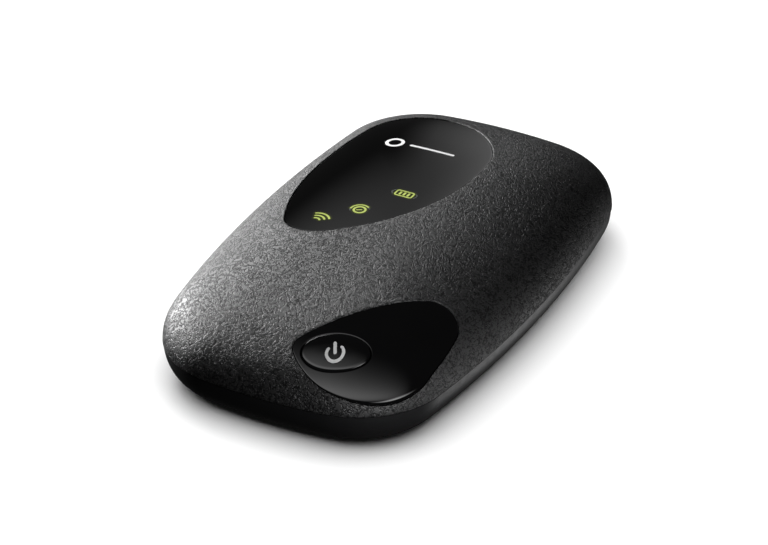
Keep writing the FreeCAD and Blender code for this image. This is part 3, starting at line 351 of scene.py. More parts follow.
def carve(points, faces, reach):
    """Opens a surface where reach is below zero. Vertices move onto the line so that the edge is clean."""
    edges = np.vstack((faces[:, [0, 1]], faces[:, [1, 2]], faces[:, [2, 0]]))
    a, b = edges[:, 0], edges[:, 1]
    crossing = reach[a] * reach[b] < 0
    a, b = a[crossing], b[crossing]
    share = reach[a] / (reach[a] - reach[b])
    nearest = np.where(share < 0.5, a, b)
    distance = np.minimum(share, 1 - share)
    place = points[a] + share[:, None] * (points[b] - points[a])
    order = np.argsort(-distance)
    points, reach = points.copy(), reach.copy()
    points[nearest[order]] = place[order]
    reach[nearest[order]] = 0.0
    kept = faces[reach[faces].sum(axis=1) > 1e-9]
    return points, kept, reach


def open_edges(faces, on_line):
    """Directed edges with a face on one side only, whose ends both lie on the line."""
    directed = np.vstack((faces[:, [0, 1]], faces[:, [1, 2]], faces[:, [2, 0]]))
    directed = directed[on_line[directed].all(axis=1)]
    known = set(map(tuple, directed))
    return [(a, b) for a, b in known if (b, a) not in known]


def sink_edge(points, faces, edges, outline, profile):
    """Hangs a wall from an open edge. Profile rows give the distance outside the outline and the drop."""
    line = sorted({v for edge in edges for v in edge})
    row_of = {v: i for i, v in enumerate(line)}
    reach, toward = convex_reach(points[line][:, :2], outline)
    foot = points[line][:, :2] - reach[:, None] * toward
    height = points[line][:, 2]
    previous = line
    for outside, drop in profile:
        start = len(points)
        plan = foot + outside * toward
        points = np.vstack((points, np.column_stack((plan, height - drop))))
        current = [start + i for i in range(len(line))]
        quads = []
        for a, b in edges:
            i, j = row_of[a], row_of[b]
            quads += [(previous[j], previous[i], current[i]), (previous[j], current[i], current[j])]
        faces = np.vstack((faces, quads))
        previous = current
    return points, faces


def cad_faces(node, dropped):
    """Points in millimetres and triangles of a CAD node, without those that the test drops."""
    mesh = frame["nodes"][node].data
    mesh.calc_loop_triangles()
    points = np.array([v.co for v in mesh.vertices]) / MM
    faces = np.array([t.vertices for t in mesh.loop_triangles])
    return points, faces[~dropped(points[faces].mean(axis=1))]


def joined(*parts):
    """Several (points, faces) pairs as one."""
    all_points, all_faces, start = [], [], 0
    for points, faces in parts:
        all_points.append(points)
        all_faces.append(np.asarray(faces) + start)
        start += len(points)
    return np.vstack(all_points), np.vstack(all_faces)


# ---- upper cover -------------------------------------------------------------


def dome_rings():
    """Rings of the cover's outer surface, from the inner edge of its rim up to the crown."""
    rings = []
    outer = inset_outline(0)
    count = round(perimeter(pebble_arcs(outer)) / GRID)

    def add(outline, height):
        ring = walk(pebble_arcs(outline), count)
        rings.append(np.column_stack((ring, np.full(len(ring), height))))

    add(inset_outline(WALL), PARTING_HEIGHT)
    for turn in np.radians((90, 60, 30, 0)):
        inset = SEAM_ROUND * (1 - math.cos(turn))
        add(inset_outline(inset), PARTING_HEIGHT + SEAM_ROUND * (1 - math.sin(turn)))
    angles = np.linspace(0, math.pi / 2, DOME_SAMPLES)
    outlines, heights = dome_level(angles)
    middle = (outlines[0] + outlines[1]) / 2
    length = np.concatenate(([0], np.cumsum(np.hypot(np.diff(middle), np.diff(heights)))))
    steps = round(length[-1] / GRID)
    for angle in np.interp(np.linspace(0, length[-1], steps), length, angles):
        outline, height = dome_level(angle)
        if height > PARTING_HEIGHT + SEAM_ROUND + GRID / 2:
            count = round(perimeter(pebble_arcs(outline)) / GRID)
            add(outline, height)
    cap = rings[-1]
    layers = round(outlines[0][-1] / GRID)
    for layer in range(1, layers):
        share = 1 - layer / layers
        count = max(12, round(len(cap) * share))
        outline = tuple(size * share for size in dome_level(math.pi / 2)[0])
        add(outline, BODY_HEIGHT)
    return rings


def outside_mouth(points):
    """Distance outside the charging port's mouth, for points of the +Y end wall."""
    half_length, radius = MOUTH_SEMI
    along = np.maximum(np.abs(points[:, 0]) - half_length + radius, 0)
    reach = np.hypot(along, points[:, 2] - MOUTH_HEIGHT) - radius
    return np.where(points[:, 1] > HALF_LENGTH / 2, reach, HALF_LENGTH)


def grained(points, faces, amount):
    """Presses the leather grain into a surface: shallow creases between low pillows."""
    mesh = bpy.data.meshes.new("grain_work")
    mesh.from_pydata([tuple(p) for p in points], [], [tuple(map(int, f)) for f in faces])
    normals = np.zeros(len(points) * 3)
    mesh.vertices.foreach_get("normal", normals)
    bpy.data.meshes.remove(mesh)
    drop = np.zeros(len(points))
    for i in np.nonzero(amount)[0]:
        spot = Vector(points[i]) / GRAIN_CELL
        crease = abs(noise.noise(spot)) / GRAIN_CREASE
        drop[i] = GRAIN_DEPTH * (1 - min(crease, 1.0)) * amount[i]
    return points - drop[:, None] * normals.reshape(-1, 3)


def upper_cover():
    """Domed top shell: grained outer skin with two recesses, on the CAD cover's inner faces."""
    points, faces = ring_stack(dome_rings())
    grain = (points[:, 2] > PARTING_HEIGHT + SEAM_ROUND).astype(float)
    points = grained(points, faces, grain)
    outlines = [
        walk(three_corner_arcs(corners, sides, 0), OUTLINE_POINTS)
        for corners, sides in ((WINDOW_CORNERS, WINDOW_SIDES), (PLATE_CORNERS, PLATE_SIDES))
    ]
    recess_depth = GLOSS_SINK + GLOSS_THICKNESS + RECESS_CLEARANCE
    halfway = RECESS_ROUND * 0.29
    profile = ((halfway, halfway), (0.0, RECESS_ROUND), (0.0, recess_depth))
    for outline in outlines:
        reach = convex_reach(points[:, :2], outline)[0] - RECESS_ROUND
        reach[points[:, 2] < PARTING_HEIGHT + 1] = HALF_LENGTH
        points, faces, reach = carve(points, faces, reach)
        edges = open_edges(faces, reach == 0.0)
        points, faces = sink_edge(points, faces, edges, outline, profile)
    points, faces, _ = carve(points, faces, outside_mouth(points))

    def dropped(middles):
        """CAD faces that the new outer surface stands in for."""
        near_skin, near_side, near_wall, near_seam = 0.06, 0.35, 0.05, 0.02
        on_skin = np.abs(middles[:, 2] - skin(middles[:, :2])) < near_skin
        outside = pebble_reach(middles[:, 0], middles[:, 1], inset_outline(0)) > -near_side
        mouth = outside_mouth(middles) < near_wall
        walls = np.zeros(len(middles), bool)
        for outline in outlines:
            walls |= np.abs(convex_reach(middles[:, :2], outline)[0]) < near_wall
        rim = middles[:, 2] < PARTING_HEIGHT + near_seam
        return on_skin | (outside & ~mouth) | walls | rim

    inner = cad_faces("upper_cover", dropped)
    made = new_piece("upper_cover_shell", *joined((points, faces), inner), sharp=50.0)
    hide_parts("upper_cover")
    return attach(made, "housing")


# ---- gloss parts -------------------------------------------------------------


def key_oval(grow, angles):
    """Points of the power key's oval, enlarged by `grow`, seen from its centre at the given angles."""
    major, minor = KEY_SEMI[0] + grow, KEY_SEMI[1] + grow
    turned = angles - KEY_ANGLE
    radius = major * minor / np.hypot(minor * np.cos(turned), major * np.sin(turned))
    return np.column_stack(
        (KEY_CENTRE[0] + radius * np.cos(angles), KEY_CENTRE[1] + radius * np.sin(angles))
    )


def gloss_part(name, corners, sides, hole=None):
    """A thin gloss moulding that follows the dome just below its surface, with a rounded edge."""
    count = 420
    closed_rings, hole_rings, crowding = 70, 60, 1.6

    def plan_at(inset):
        return walk(three_corner_arcs(corners, sides, GLOSS_GAP + inset), count)

    def top(plan):
        return skin(plan) - GLOSS_SINK

    rings = [plan_ring(plan_at(0.0), skin(plan_at(0.0)) - GLOSS_SINK - GLOSS_THICKNESS)]
    for turn in np.radians((90, 65, 40, 20, 0)):
        plan = plan_at(GLOSS_ROUND * (1 - math.sin(turn)))
        rings.append(plan_ring(plan, top(plan) - GLOSS_ROUND * (1 - math.cos(turn))))
    start = plan_at(GLOSS_ROUND)
    if hole is None:
        goal = np.tile(start.mean(axis=0), (count, 1))
        shares = np.linspace(0, 1, closed_rings)[1:-1]
    else:
        angles = np.unwrap(np.arctan2(start[:, 1] - KEY_CENTRE[1], start[:, 0] - KEY_CENTRE[0]))
        goal = hole(HOLE_ROUND, angles)
        shares = 1 - np.linspace(1, 0, hole_rings)[1:] ** crowding
    for share in shares:
        plan = start + (goal - start) * share
        rings.append(plan_ring(plan, top(plan)))
    if hole is not None:
        for turn in np.radians((30, 60, 90)):
            plan = hole(HOLE_ROUND * (1 - math.sin(turn)), angles)
            rings.append(plan_ring(plan, top(plan) - HOLE_ROUND * (1 - math.cos(turn))))
        low = hole(0.0, angles)
        rings.append(plan_ring(low, skin(low) - GLOSS_SINK - GLOSS_THICKNESS))
        rings.append(rings[0])
    return new_piece(name, *ring_stack(rings, closed_top=hole is None))


def plan_ring(plan, height):
    return np.column_stack((plan, height))


def indicator_window():
    """Gloss window over the indicators."""
    made = gloss_part("indicator_lens", WINDOW_CORNERS, WINDOW_SIDES)
    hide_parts("indicator_window")
    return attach(made, "housing")


def beyond_key(plan):
    """Rough distance outside the key's oval."""
    x, y = plan[:, 0] - KEY_CENTRE[0], plan[:, 1] - KEY_CENTRE[1]
    along = x * math.cos(KEY_ANGLE) + y * math.sin(KEY_ANGLE)
    across = y * math.cos(KEY_ANGLE) - x * math.sin(KEY_ANGLE)
    ratio = np.hypot(along / KEY_SEMI[0], across / KEY_SEMI[1])
    return (ratio - 1) * np.hypot(along, across) / np.maximum(ratio, 0.01)


def key_plate():
    """Gloss plate around the power key."""
    made = gloss_part(
        "key_surround",
        PLATE_CORNERS,
        PLATE_SIDES,
        hole=lambda grow, angles: key_oval(KEY_GAP + grow, angles),
    )
    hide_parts("key_plate")
    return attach(made, "housing")


def key_top(plan):
    """Height of the key's crowned top."""
    closeness = np.clip(1 + beyond_key(plan) / KEY_SEMI[1], 0, 1)
    return skin(plan) + KEY_PROUD + KEY_CROWN * (1 - closeness**2)


def power_key():
    """Oval key with a crowned top and a rounded edge, on the CAD key's flange and stem."""
    count, top_rings = 240, 36
    angles = np.linspace(0, 2 * math.pi, count, endpoint=False)
    foot = key_oval(0.0, angles)
    rings = [plan_ring(foot, skin(foot) - KEY_FLANGE_TOP)]
    for turn in np.radians((90, 65, 45, 25, 0)):
        plan = key_oval(-KEY_ROUND * (1 - math.sin(turn)), angles)
        rings.append(plan_ring(plan, key_top(plan) - KEY_ROUND * (1 - math.cos(turn))))
    start = key_oval(-KEY_ROUND, angles)
    for share in np.linspace(1, 0, top_rings)[1:-1]:
        plan = np.array(KEY_CENTRE) + (start - KEY_CENTRE) * share
        rings.append(plan_ring(plan, key_top(plan)))

    def dropped(middles):
        """The CAD cap's faces, above the flange."""
        stem_top, key_reach = BODY_HEIGHT / 2 + 2, 9
        above = middles[:, 2] > skin(middles[:, :2]) - KEY_FLANGE_TOP + 0.05
        return above & (middles[:, 2] > stem_top) & (beyond_key(middles[:, :2]) > -key_reach)

    made = new_piece("power_key_cap", *joined(ring_stack(rings), cad_faces("power_key", dropped)))
    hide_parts("power_key")
    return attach(made, "power_key")


# ---- printed symbols ---------------------------------------------------------


def arc_path(centre, radius, start, end, steps=24):
    angles = np.radians(np.linspace(start, end, steps))
    return np.column_stack((centre[0] + radius * np.cos(angles), centre[1] + radius * np.sin(angles)))


def line_path(start, end, steps=10):
    return np.linspace(start, end, steps)


def stroke(path, width, closed=False):
    """A flat band along a path, with rounded ends unless it is closed."""
    path = np.asarray(path, float)
    half = width / 2
    round_steps = np.radians((30, 60, 82))
    if closed:
        tangent = np.roll(path, -1, axis=0) - np.roll(path, 1, axis=0)
    else:
        tangent = np.gradient(path, axis=0)
        tips = []
        for end, sign in ((0, -1), (-1, 1)):
            heading = tangent[end] * sign / np.linalg.norm(tangent[end])
            tips.append([(path[end] + heading * half * math.sin(a), math.cos(a)) for a in round_steps])
    tangent = tangent / np.linalg.norm(tangent, axis=1)[:, None]
    side = np.column_stack((-tangent[:, 1], tangent[:, 0]))
    widths = np.ones(len(path))
    if not closed:
        first = [p for p, _ in tips[0]][::-1]
        last = [p for p, _ in tips[1]]
        path = np.vstack((first, path, last))
        side = np.vstack(([side[0]] * len(first), side, [side[-1]] * len(last)))
        widths = np.concatenate(([w for _, w in tips[0]][::-1], widths, [w for _, w in tips[1]]))
    left = path + side * half * widths[:, None]
    right = path - side * half * widths[:, None]
    count = len(path)
    faces = []
    for i in range(count if closed else count - 1):
        j = (i + 1) % count
        faces += [(i, count + i, count + j), (i, count + j, j)]
    return np.vstack((left, right)), np.array(faces)


def printed(name, strokes, height, body, lift=INK_LIFT):
    """Symbol made of strokes, laid on a surface and given a thin layer of ink."""
    plan, faces = joined(*strokes)
    made = new_piece(name, np.column_stack((plan, height(plan) + lift)), faces)
    ink = made.modifiers.new("ink", "SOLIDIFY")
    ink.thickness = INK_THICKNESS * MM
    ink.offset = -1
    crisp = made.modifiers.new("crisp", "EDGE_SPLIT")
    crisp.split_angle = math.radians(40)
    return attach(made, body)


def on_window(plan):
    return skin(plan) - GLOSS_SINK


def wireless_strokes(widening=0.0):
    """Three arcs that fan out from one corner."""
    width = 0.36 + widening
    return [stroke(arc_path(WIRELESS_SYMBOL, radius, 32, 110), width) for radius in (0.95, 1.8, 2.65)]


def network_strokes(widening=0.0):
    """Ring with a bar across it, under a wider arc."""
    centre = np.array(NETWORK_SYMBOL)
    across = np.array((math.cos(FACING), math.sin(FACING)))
    ring = stroke(arc_path(centre, 1.02, 0, 352.5, 48), 0.38 + widening, closed=True)
    bar = stroke(line_path(centre - across * 0.5, centre + across * 0.35), 0.24 + widening)
    brim = stroke(arc_path(centre, NETWORK_BRIM, 55, 182), 0.32 + widening)
    return [ring, bar, brim]


def battery_strokes(widening=0.0):
    """Battery outline with three charge bars."""
    x, y = BATTERY_SYMBOL
    half_length, half_width, corner = 1.6, 0.84, 0.35
    bar_pitch, bar_half = 0.78, 0.38
    path = []
    for sx, sy, start in ((1, 1, 0), (-1, 1, 90), (-1, -1, 180), (1, -1, 270)):
        middle = (x + sx * (half_length - corner), y + sy * (half_width - corner))
        path.append(arc_path(middle, corner, start, start + 90, 7))
    strokes = [stroke(np.vstack(path), 0.27 + widening, closed=True)]
    for shift in (-bar_pitch, 0.0, bar_pitch):
        bar = line_path((x + shift, y - bar_half), (x + shift, y + bar_half))
        strokes.append(stroke(bar, 0.38 + widening))
    return strokes


def lit_symbols():
    """The three lit indicators."""
    symbols = {"wireless": wireless_strokes(), "network": network_strokes(), "battery": battery_strokes()}
    return [
        printed("symbol_" + name, strokes, on_window, "housing")
        for name, strokes in symbols.items()
    ]


def halo(name, widening, lift):
    """Faint light that spreads in the window around the lit symbols."""
    strokes = wireless_strokes(widening) + network_strokes(widening) + battery_strokes(widening)
    return printed(name, strokes, on_window, "housing", lift)


def unlit_marks():
    """Faint grey parts of the symbols that stay unlit: the brim's ends and the battery's two brackets."""
    width = 0.24
    bracket_shift, bracket_radius = 1.5, 0.85
    strokes = [stroke(arc_path(NETWORK_SYMBOL, NETWORK_BRIM, a, b), width) for a, b in ((30, 47), (190, 207))]
    x, y = BATTERY_SYMBOL
    strokes.append(stroke(arc_path((x - bracket_shift, y), bracket_radius, 130, 230), width))
    strokes.append(stroke(arc_path((x + bracket_shift, y), bracket_radius, -50, 50), width))
    return printed("symbol_unlit", strokes, on_window, "housing")


def plain_mark():
    """Generic wordless mark: a ring and a slim rounded bar."""
    width, bar_start, bar_end = 0.62, -7.6, 0.6
    level = PLAIN_MARK[1]
    ring = stroke(arc_path(PLAIN_MARK, 1.45, 0, 352.5, 48), width, closed=True)
    bar = stroke(line_path((bar_start, level), (bar_end, level), 20), width)
    return printed("plain_mark", [ring, bar], on_window, "housing")


def power_symbol():
    """Open ring with a bar through its gap, on the key."""
    centre = np.array(POWER_SYMBOL)
    up = np.array((-math.sin(FACING), math.cos(FACING)))
    top = 90 + math.degrees(FACING)
    ring = stroke(arc_path(centre, 1.42, top + 52, top + 308, 48), 0.52)
    bar = stroke(line_path(centre, centre + up * 1.85), 0.56)
    return printed("symbol_power", [ring, bar], key_top, "power_key")


# ---- materials ---------------------------------------------------------------


class Recipe:
    """One procedural material. Sizes are in millimetres."""

    def __init__(self, name, colour, roughness, metallic=0.0, specular=0.5):
        self.material = bpy.data.materials.new(name)
        self.material.use_nodes = True
        self.tree = self.material.node_tree
        self.shader = self.tree.nodes["Principled BSDF"]
        self.shader.inputs["Base Color"].default_value = (*colour, 1)
        self.shader.inputs["Roughness"].default_value = roughness
        self.shader.inputs["Metallic"].default_value = metallic
        self.shader.inputs["Specular IOR Level"].default_value = specular
        self.place = self.tree.nodes.new("ShaderNodeTexCoord").outputs["Object"]
        self.normal = None

    def node(self, kind, **inputs):
        made = self.tree.nodes.new(kind)
        for name, given in inputs.items():
            socket = made.inputs[name.replace("_", " ")]
            if isinstance(given, bpy.types.NodeSocket):
                self.tree.links.new(given, socket)
            else:
                socket.default_value = given
        return made

    def noise(self, size, detail=2.0, roughness=0.5, distortion=0.0):
        """Soft random pattern with spots of about the given size."""
        made = self.node(
            "ShaderNodeTexNoise",
            Vector=self.place,
            Scale=1 / (size * MM),
            Detail=detail,
            Roughness=roughness,
            Distortion=distortion,
        )
        return made.outputs["Fac"]

    def cells(self, size, feature="F1"):
        made = self.tree.nodes.new("ShaderNodeTexVoronoi")
        made.feature = feature
        made.inputs["Scale"].default_value = 1 / (size * MM)
        self.tree.links.new(self.place, made.inputs["Vector"])
        return made.outputs["Distance"]

    def stripes(self, size, axis="X"):
        """Fine parallel lines, as brushing or tool marks leave."""
        made = self.tree.nodes.new("ShaderNodeTexWave")
        made.bands_direction = axis
        made.inputs["Scale"].default_value = 1 / (size * MM)
        made.inputs["Distortion"].default_value = 3.0
        self.tree.links.new(self.place, made.inputs["Vector"])
        return made.outputs["Fac"]

    def math(self, operation, first, second=0.0):
        made = self.tree.nodes.new("ShaderNodeMath")
        made.operation = operation
        for socket, given in zip(made.inputs, (first, second)):
            if isinstance(given, bpy.types.NodeSocket):
                self.tree.links.new(given, socket)
            else:
                socket.default_value = given
        return made.outputs[0]

    def ramp(self, source, low, high, to_low, to_high):
        """Stretches source's low..high to to_low..to_high."""
        made = self.node("ShaderNodeMapRange", Value=source)
        for name, given in (("From Min", low), ("From Max", high), ("To Min", to_low), ("To Max", to_high)):
            made.inputs[name].default_value = given
        return made.outputs["Result"]

    def tint(self, source, first, second):
        """Colour that runs from first to second as source goes from 0 to 1."""
        made = self.tree.nodes.new("ShaderNodeMix")
        made.data_type = "RGBA"
        self.tree.links.new(source, made.inputs["Factor"])
        colours = [socket for socket in made.inputs if socket.type == "RGBA"]
        colours[0].default_value = (*first, 1)
        colours[1].default_value = (*second, 1)
        out = next(socket for socket in made.outputs if socket.type == "RGBA")
        self.tree.links.new(out, self.shader.inputs["Base Color"])
        return self

    def feed(self, name, source, low, high):
        """Drives a shader input from low to high as source goes from 0 to 1."""
        self.tree.links.new(self.ramp(source, 0.0, 1.0, low, high), self.shader.inputs[name])
        return self

    def gloss(self, source, low, high):
        """Roughness from low to high over the middle of source's range."""
        self.tree.links.new(self.ramp(source, 0.25, 0.75, low, high), self.shader.inputs["Roughness"])
        return self

    def bump(self, source, height, strength=1.0):
        """Relief of the given height in millimetres. Later calls add to earlier ones."""
        made = self.node("ShaderNodeBump", Height=source, Strength=strength, Distance=height * MM)
        if self.normal is not None:
            self.tree.links.new(self.normal, made.inputs["Normal"])
        self.normal = made.outputs["Normal"]
        self.tree.links.new(self.normal, self.shader.inputs["Normal"])
        return self

    def soft_edges(self, radius):
        """Edges that catch the light as if rounded."""
        made = self.tree.nodes.new("ShaderNodeBevel")
        made.samples = 4
        made.inputs["Radius"].default_value = radius * MM
        self.normal = made.outputs["Normal"]
        self.tree.links.new(self.normal, self.shader.inputs["Normal"])
        return self

    def set(self, **inputs):
        for name, given in inputs.items():
            self.shader.inputs[name.replace("_", " ")].default_value = given
        return self


def grained_plastic():
    """Dark plastic with a fine leather grain: thin winding creases between smooth plateaus, with painted
    shade in the creases that makes them darker and less shiny.
    """
    look = Recipe("grained_plastic", (0.009, 0.009, 0.0095), 0.5, specular=0.5)

    def creases(size):
        """0 along the lines where a noise crosses its middle value, 1 between them."""
        crease_width = 0.055
        winding = look.math("ABSOLUTE", look.math("SUBTRACT", look.noise(size, 2.0, 0.6, 0.2), 0.5))
        return look.ramp(winding, 0.0, crease_width, 0.0, 1.0)

    crease_relief_and_shade = look.math("MINIMUM", creases(1.35), creases(1.0))
    # The same crease mask drives the bump and the painted shade: the tint paints the creases darker and the
    # specular level is lowered there, both standing in for shade in the grooves.
    look.tint(crease_relief_and_shade, (0.002, 0.002, 0.0022), (0.0076, 0.0076, 0.008))
    look.feed("Specular IOR Level", crease_relief_and_shade, 0.14, 0.74)
    look.gloss(look.noise(0.3, 3.0), 0.5, 0.58)
    look.bump(crease_relief_and_shade, 0.068, 1.0)
    return look.material


def satin_plastic():
    """Smooth satin plastic of the back cover."""
    look = Recipe("satin_plastic", (0.006, 0.006, 0.0063), 0.42, specular=0.25)
    look.tint(look.noise(4.0, 3.0), (0.0045, 0.0045, 0.0048), (0.007, 0.007, 0.0074))
    look.gloss(look.noise(1.2, 4.0), 0.36, 0.46)
    look.bump(look.noise(0.12, 2.0), 0.004, 0.5)
    return look.material


def gloss_black():
    """Polished piano-black plastic with the faintest orange peel."""
    look = Recipe("gloss_black", (0.003, 0.003, 0.0032), 0.06, specular=0.5)
    look.tint(look.noise(6.0, 2.0), (0.0025, 0.0025, 0.0028), (0.004, 0.004, 0.0042))
    look.gloss(look.noise(3.0, 4.0), 0.045, 0.085)
    look.bump(look.noise(2.5, 1.0), 0.002, 0.3)
    look.set(Coat_Weight=0.3, Coat_Roughness=0.03)
    return look.material


def moulded(name, colour, pale, roughness=0.5, spark=0.12):
    """Plain moulded plastic with a fine spark texture."""
    look = Recipe(name, colour, roughness)
    look.soft_edges(0.12)
    look.tint(look.ramp(look.noise(1.5, 4.0), 0.3, 0.7, 0, 1), colour, pale)
    look.gloss(look.noise(0.5, 3.0), roughness - 0.08, roughness + 0.08)
    look.bump(look.noise(spark, 2.0), 0.008, 0.6)
    return look.material


def sheet_metal(name, colour, pale, roughness=0.3):
    """Plated sheet with faint rolling lines."""
    look = Recipe(name, colour, roughness, metallic=1.0)
    look.soft_edges(0.1)
    look.tint(look.ramp(look.noise(2.0, 5.0), 0.3, 0.7, 0, 1), colour, pale)
    look.gloss(look.stripes(0.4), roughness - 0.08, roughness + 0.1)
    look.bump(look.stripes(0.25, "Y"), 0.002, 0.4)
    return look.material


def tape():
    look = Recipe("tape", (0.12, 0.12, 0.12), 0.7)
    look.tint(look.noise(0.8, 3.0), (0.09, 0.09, 0.09), (0.15, 0.15, 0.15))
    look.bump(look.noise(0.4, 2.0), 0.01, 0.5)
    return look.material


def board_laminate():
    """Green solder mask over tracks that show as slightly raised, paler lanes."""
    look = Recipe("board_laminate", (0.01, 0.07, 0.035), 0.3)
    look.soft_edges(0.08)
    lanes = look.ramp(look.cells(2.6, "DISTANCE_TO_EDGE"), 0.05, 0.12, 1.0, 0.0)
    look.tint(lanes, (0.008, 0.06, 0.03), (0.02, 0.13, 0.06))
    look.gloss(look.noise(1.0, 3.0), 0.22, 0.36)
    look.bump(lanes, 0.02, 0.7)
    return look.material


def chip_resin():
    look = Recipe("chip_resin", (0.018, 0.018, 0.018), 0.55)
    look.soft_edges(0.1)
    look.tint(look.noise(0.3, 4.0), (0.014, 0.014, 0.014), (0.026, 0.026, 0.026))
    look.gloss(look.noise(0.6, 3.0), 0.5, 0.66)
    look.bump(look.noise(0.08, 2.0), 0.004, 0.6)
    return look.material


def ferrite():
    look = Recipe("ferrite", (0.08, 0.08, 0.085), 0.6)
    look.soft_edges(0.15)
    look.tint(look.noise(0.2, 4.0), (0.05, 0.05, 0.055), (0.11, 0.11, 0.115))
    look.bump(look.noise(0.1, 3.0), 0.01, 0.7)
    return look.material


def silicone():
    look = Recipe("silicone", (0.3, 0.38, 0.46), 0.65)
    look.soft_edges(0.15)
    look.tint(look.noise(0.9, 3.0), (0.26, 0.34, 0.42), (0.36, 0.44, 0.52))
    look.bump(look.noise(0.5, 2.0), 0.02, 0.4)
    return look.material


def lamp_resin():
    look = Recipe("lamp_resin", (0.75, 0.8, 0.55), 0.2)
    look.tint(look.noise(0.4, 2.0), (0.7, 0.76, 0.5), (0.8, 0.84, 0.6))
    look.gloss(look.noise(0.5, 2.0), 0.15, 0.25)
    return look.material


def clear_plastic():
    look = Recipe("clear_plastic", (0.85, 0.95, 0.88), 0.12)
    look.tint(look.noise(1.5, 2.0), (0.8, 0.92, 0.84), (0.9, 0.98, 0.92))
    look.gloss(look.noise(0.8, 3.0), 0.08, 0.16)
    look.set(Transmission_Weight=0.8)
    return look.material


def card_plastic():
    look = Recipe("card_plastic", (0.78, 0.79, 0.81), 0.4)
    look.soft_edges(0.1)
    look.tint(look.noise(3.0, 3.0), (0.74, 0.75, 0.78), (0.82, 0.83, 0.84))
    look.gloss(look.noise(0.7, 3.0), 0.34, 0.46)
    look.bump(look.noise(0.2, 2.0), 0.004, 0.4)
    return look.material


def battery_case():
    """Wrapped cell: satin film with faint drawn wrinkles."""
    look = Recipe("battery_case", (0.05, 0.05, 0.055), 0.35)
    look.tint(look.noise(5.0, 4.0), (0.04, 0.04, 0.045), (0.07, 0.07, 0.075))
    look.gloss(look.noise(1.5, 4.0), 0.28, 0.42)
    look.bump(look.noise(3.0, 3.0, 0.5, 0.8), 0.03, 0.4)
    return look.material


def label_film():
    look = Recipe("label_film", (0.7, 0.71, 0.72), 0.45)
    look.tint(look.noise(2.0, 4.0), (0.66, 0.67, 0.68), (0.76, 0.77, 0.78))
    look.gloss(look.noise(0.9, 3.0), 0.38, 0.52)
    look.bump(look.noise(0.3, 3.0), 0.003, 0.5)
    return look.material


def lit_symbol():
    """Lamp light that shines through the window: lime, a little uneven."""
    look = Recipe("lit_symbol", (0.35, 0.45, 0.08), 0.2)
    look.feed("Emission Strength", look.noise(0.9, 2.0), 0.5, 0.95)
    look.set(Emission_Color=(0.66, 0.78, 0.2, 1))
    return look.material


def halo_gloss(name, strength):
    """The window's black gloss with some of the lamps' light in it."""
    look = Recipe(name, (0.003, 0.003, 0.0032), 0.06, specular=0.5)
    look.feed("Emission Strength", look.noise(0.9, 2.0), strength * 0.7, strength * 1.3)
    look.set(Emission_Color=(0.55, 0.68, 0.03, 1), Coat_Weight=0.3, Coat_Roughness=0.03)
    return look.material


def symbol_paint(name, colour, shade):
    """Printed paint, very slightly uneven."""
    look = Recipe(name, colour, 0.5, specular=0.1)
    look.tint(look.noise(0.5, 3.0), shade, colour)
    look.gloss(look.noise(0.4, 2.0), 0.32, 0.48)
    look.bump(look.noise(0.15, 2.0), 0.003, 0.4)
    return look.material


def material_set():
    """Every material of the record, by its slot name."""
    return {
        "grained_plastic": grained_plastic(),
        "satin_plastic": satin_plastic(),
        "gloss_black": gloss_black(),
        "tape": tape(),
        "frame_plastic": moulded("frame_plastic", (0.022, 0.022, 0.024), (0.04, 0.04, 0.042)),
        "screw_steel": sheet_metal("screw_steel", (0.4, 0.4, 0.41), (0.55, 0.55, 0.56), 0.32),
        "board_laminate": board_laminate(),
        "shield_metal": sheet_metal("shield_metal", (0.55, 0.55, 0.53), (0.7, 0.7, 0.67), 0.28),
        "chip_resin": chip_resin(),
        "ferrite": ferrite(),
        "silicone": silicone(),
        "lamp_resin": lamp_resin(),
        "clear_plastic": clear_plastic(),
        "carrier_plastic": moulded("carrier_plastic", (0.04, 0.04, 0.045), (0.07, 0.07, 0.075), 0.55),
        "antenna_foil": sheet_metal("antenna_foil", (0.7, 0.46, 0.2), (0.82, 0.58, 0.3), 0.3),
        "connector_plastic": moulded("connector_plastic", (0.03, 0.03, 0.032), (0.05, 0.05, 0.052), 0.42),
        "contact_gold": sheet_metal("contact_gold", (0.8, 0.58, 0.2), (0.92, 0.7, 0.32), 0.22),
        "card_plastic": card_plastic(),
        "battery_case": battery_case(),
        "label_film": label_film(),
        "switch_button": moulded("switch_button", (0.2, 0.2, 0.21), (0.3, 0.3, 0.31), 0.48),
    }


def wear(thing, material):
    """Gives an object one material and nothing else."""
    thing.data.materials.clear()
    thing.data.materials.append(material)


# ---- stage, light and camera -------------------------------------------------


def floor():
    """Pale floor with a very slight unevenness, kept out of the object's reflections.
    It can't be seen from below, so that the underside can be looked at."""
    work = bmesh.new()
    bmesh.ops.create_grid(work, x_segments=8, y_segments=8, size=1.5)
    mesh = bpy.data.meshes.new("floor")
    work.to_mesh(mesh)
    work.free()
    made = bpy.data.objects.new("floor", mesh)
    bpy.context.scene.collection.objects.link(made)
    look = Recipe("floor_paint", (0.93, 0.93, 0.93), 0.9, specular=0.0)
    look.tint(look.noise(60.0, 2.0), (0.925, 0.925, 0.925), (0.935, 0.935, 0.935))
    clear = look.node("ShaderNodeBsdfTransparent")
    from_below = look.node("ShaderNodeNewGeometry").outputs["Backfacing"]
    either = look.node("ShaderNodeMixShader", Fac=from_below)
    look.tree.links.new(look.shader.outputs["BSDF"], either.inputs[1])
    look.tree.links.new(clear.outputs["BSDF"], either.inputs[2])
    look.tree.links.new(either.outputs["Shader"], look.tree.nodes["Material Output"].inputs["Surface"])
    wear(made, look.material)
    made.visible_diffuse = False
    made.visible_glossy = False
    made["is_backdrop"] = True
    return made


def lit_group(name, objects):
    """Objects that a light may be limited to."""
    group = bpy.data.collections.new(name)
    for thing in objects:
        group.objects.link(thing)
    return group


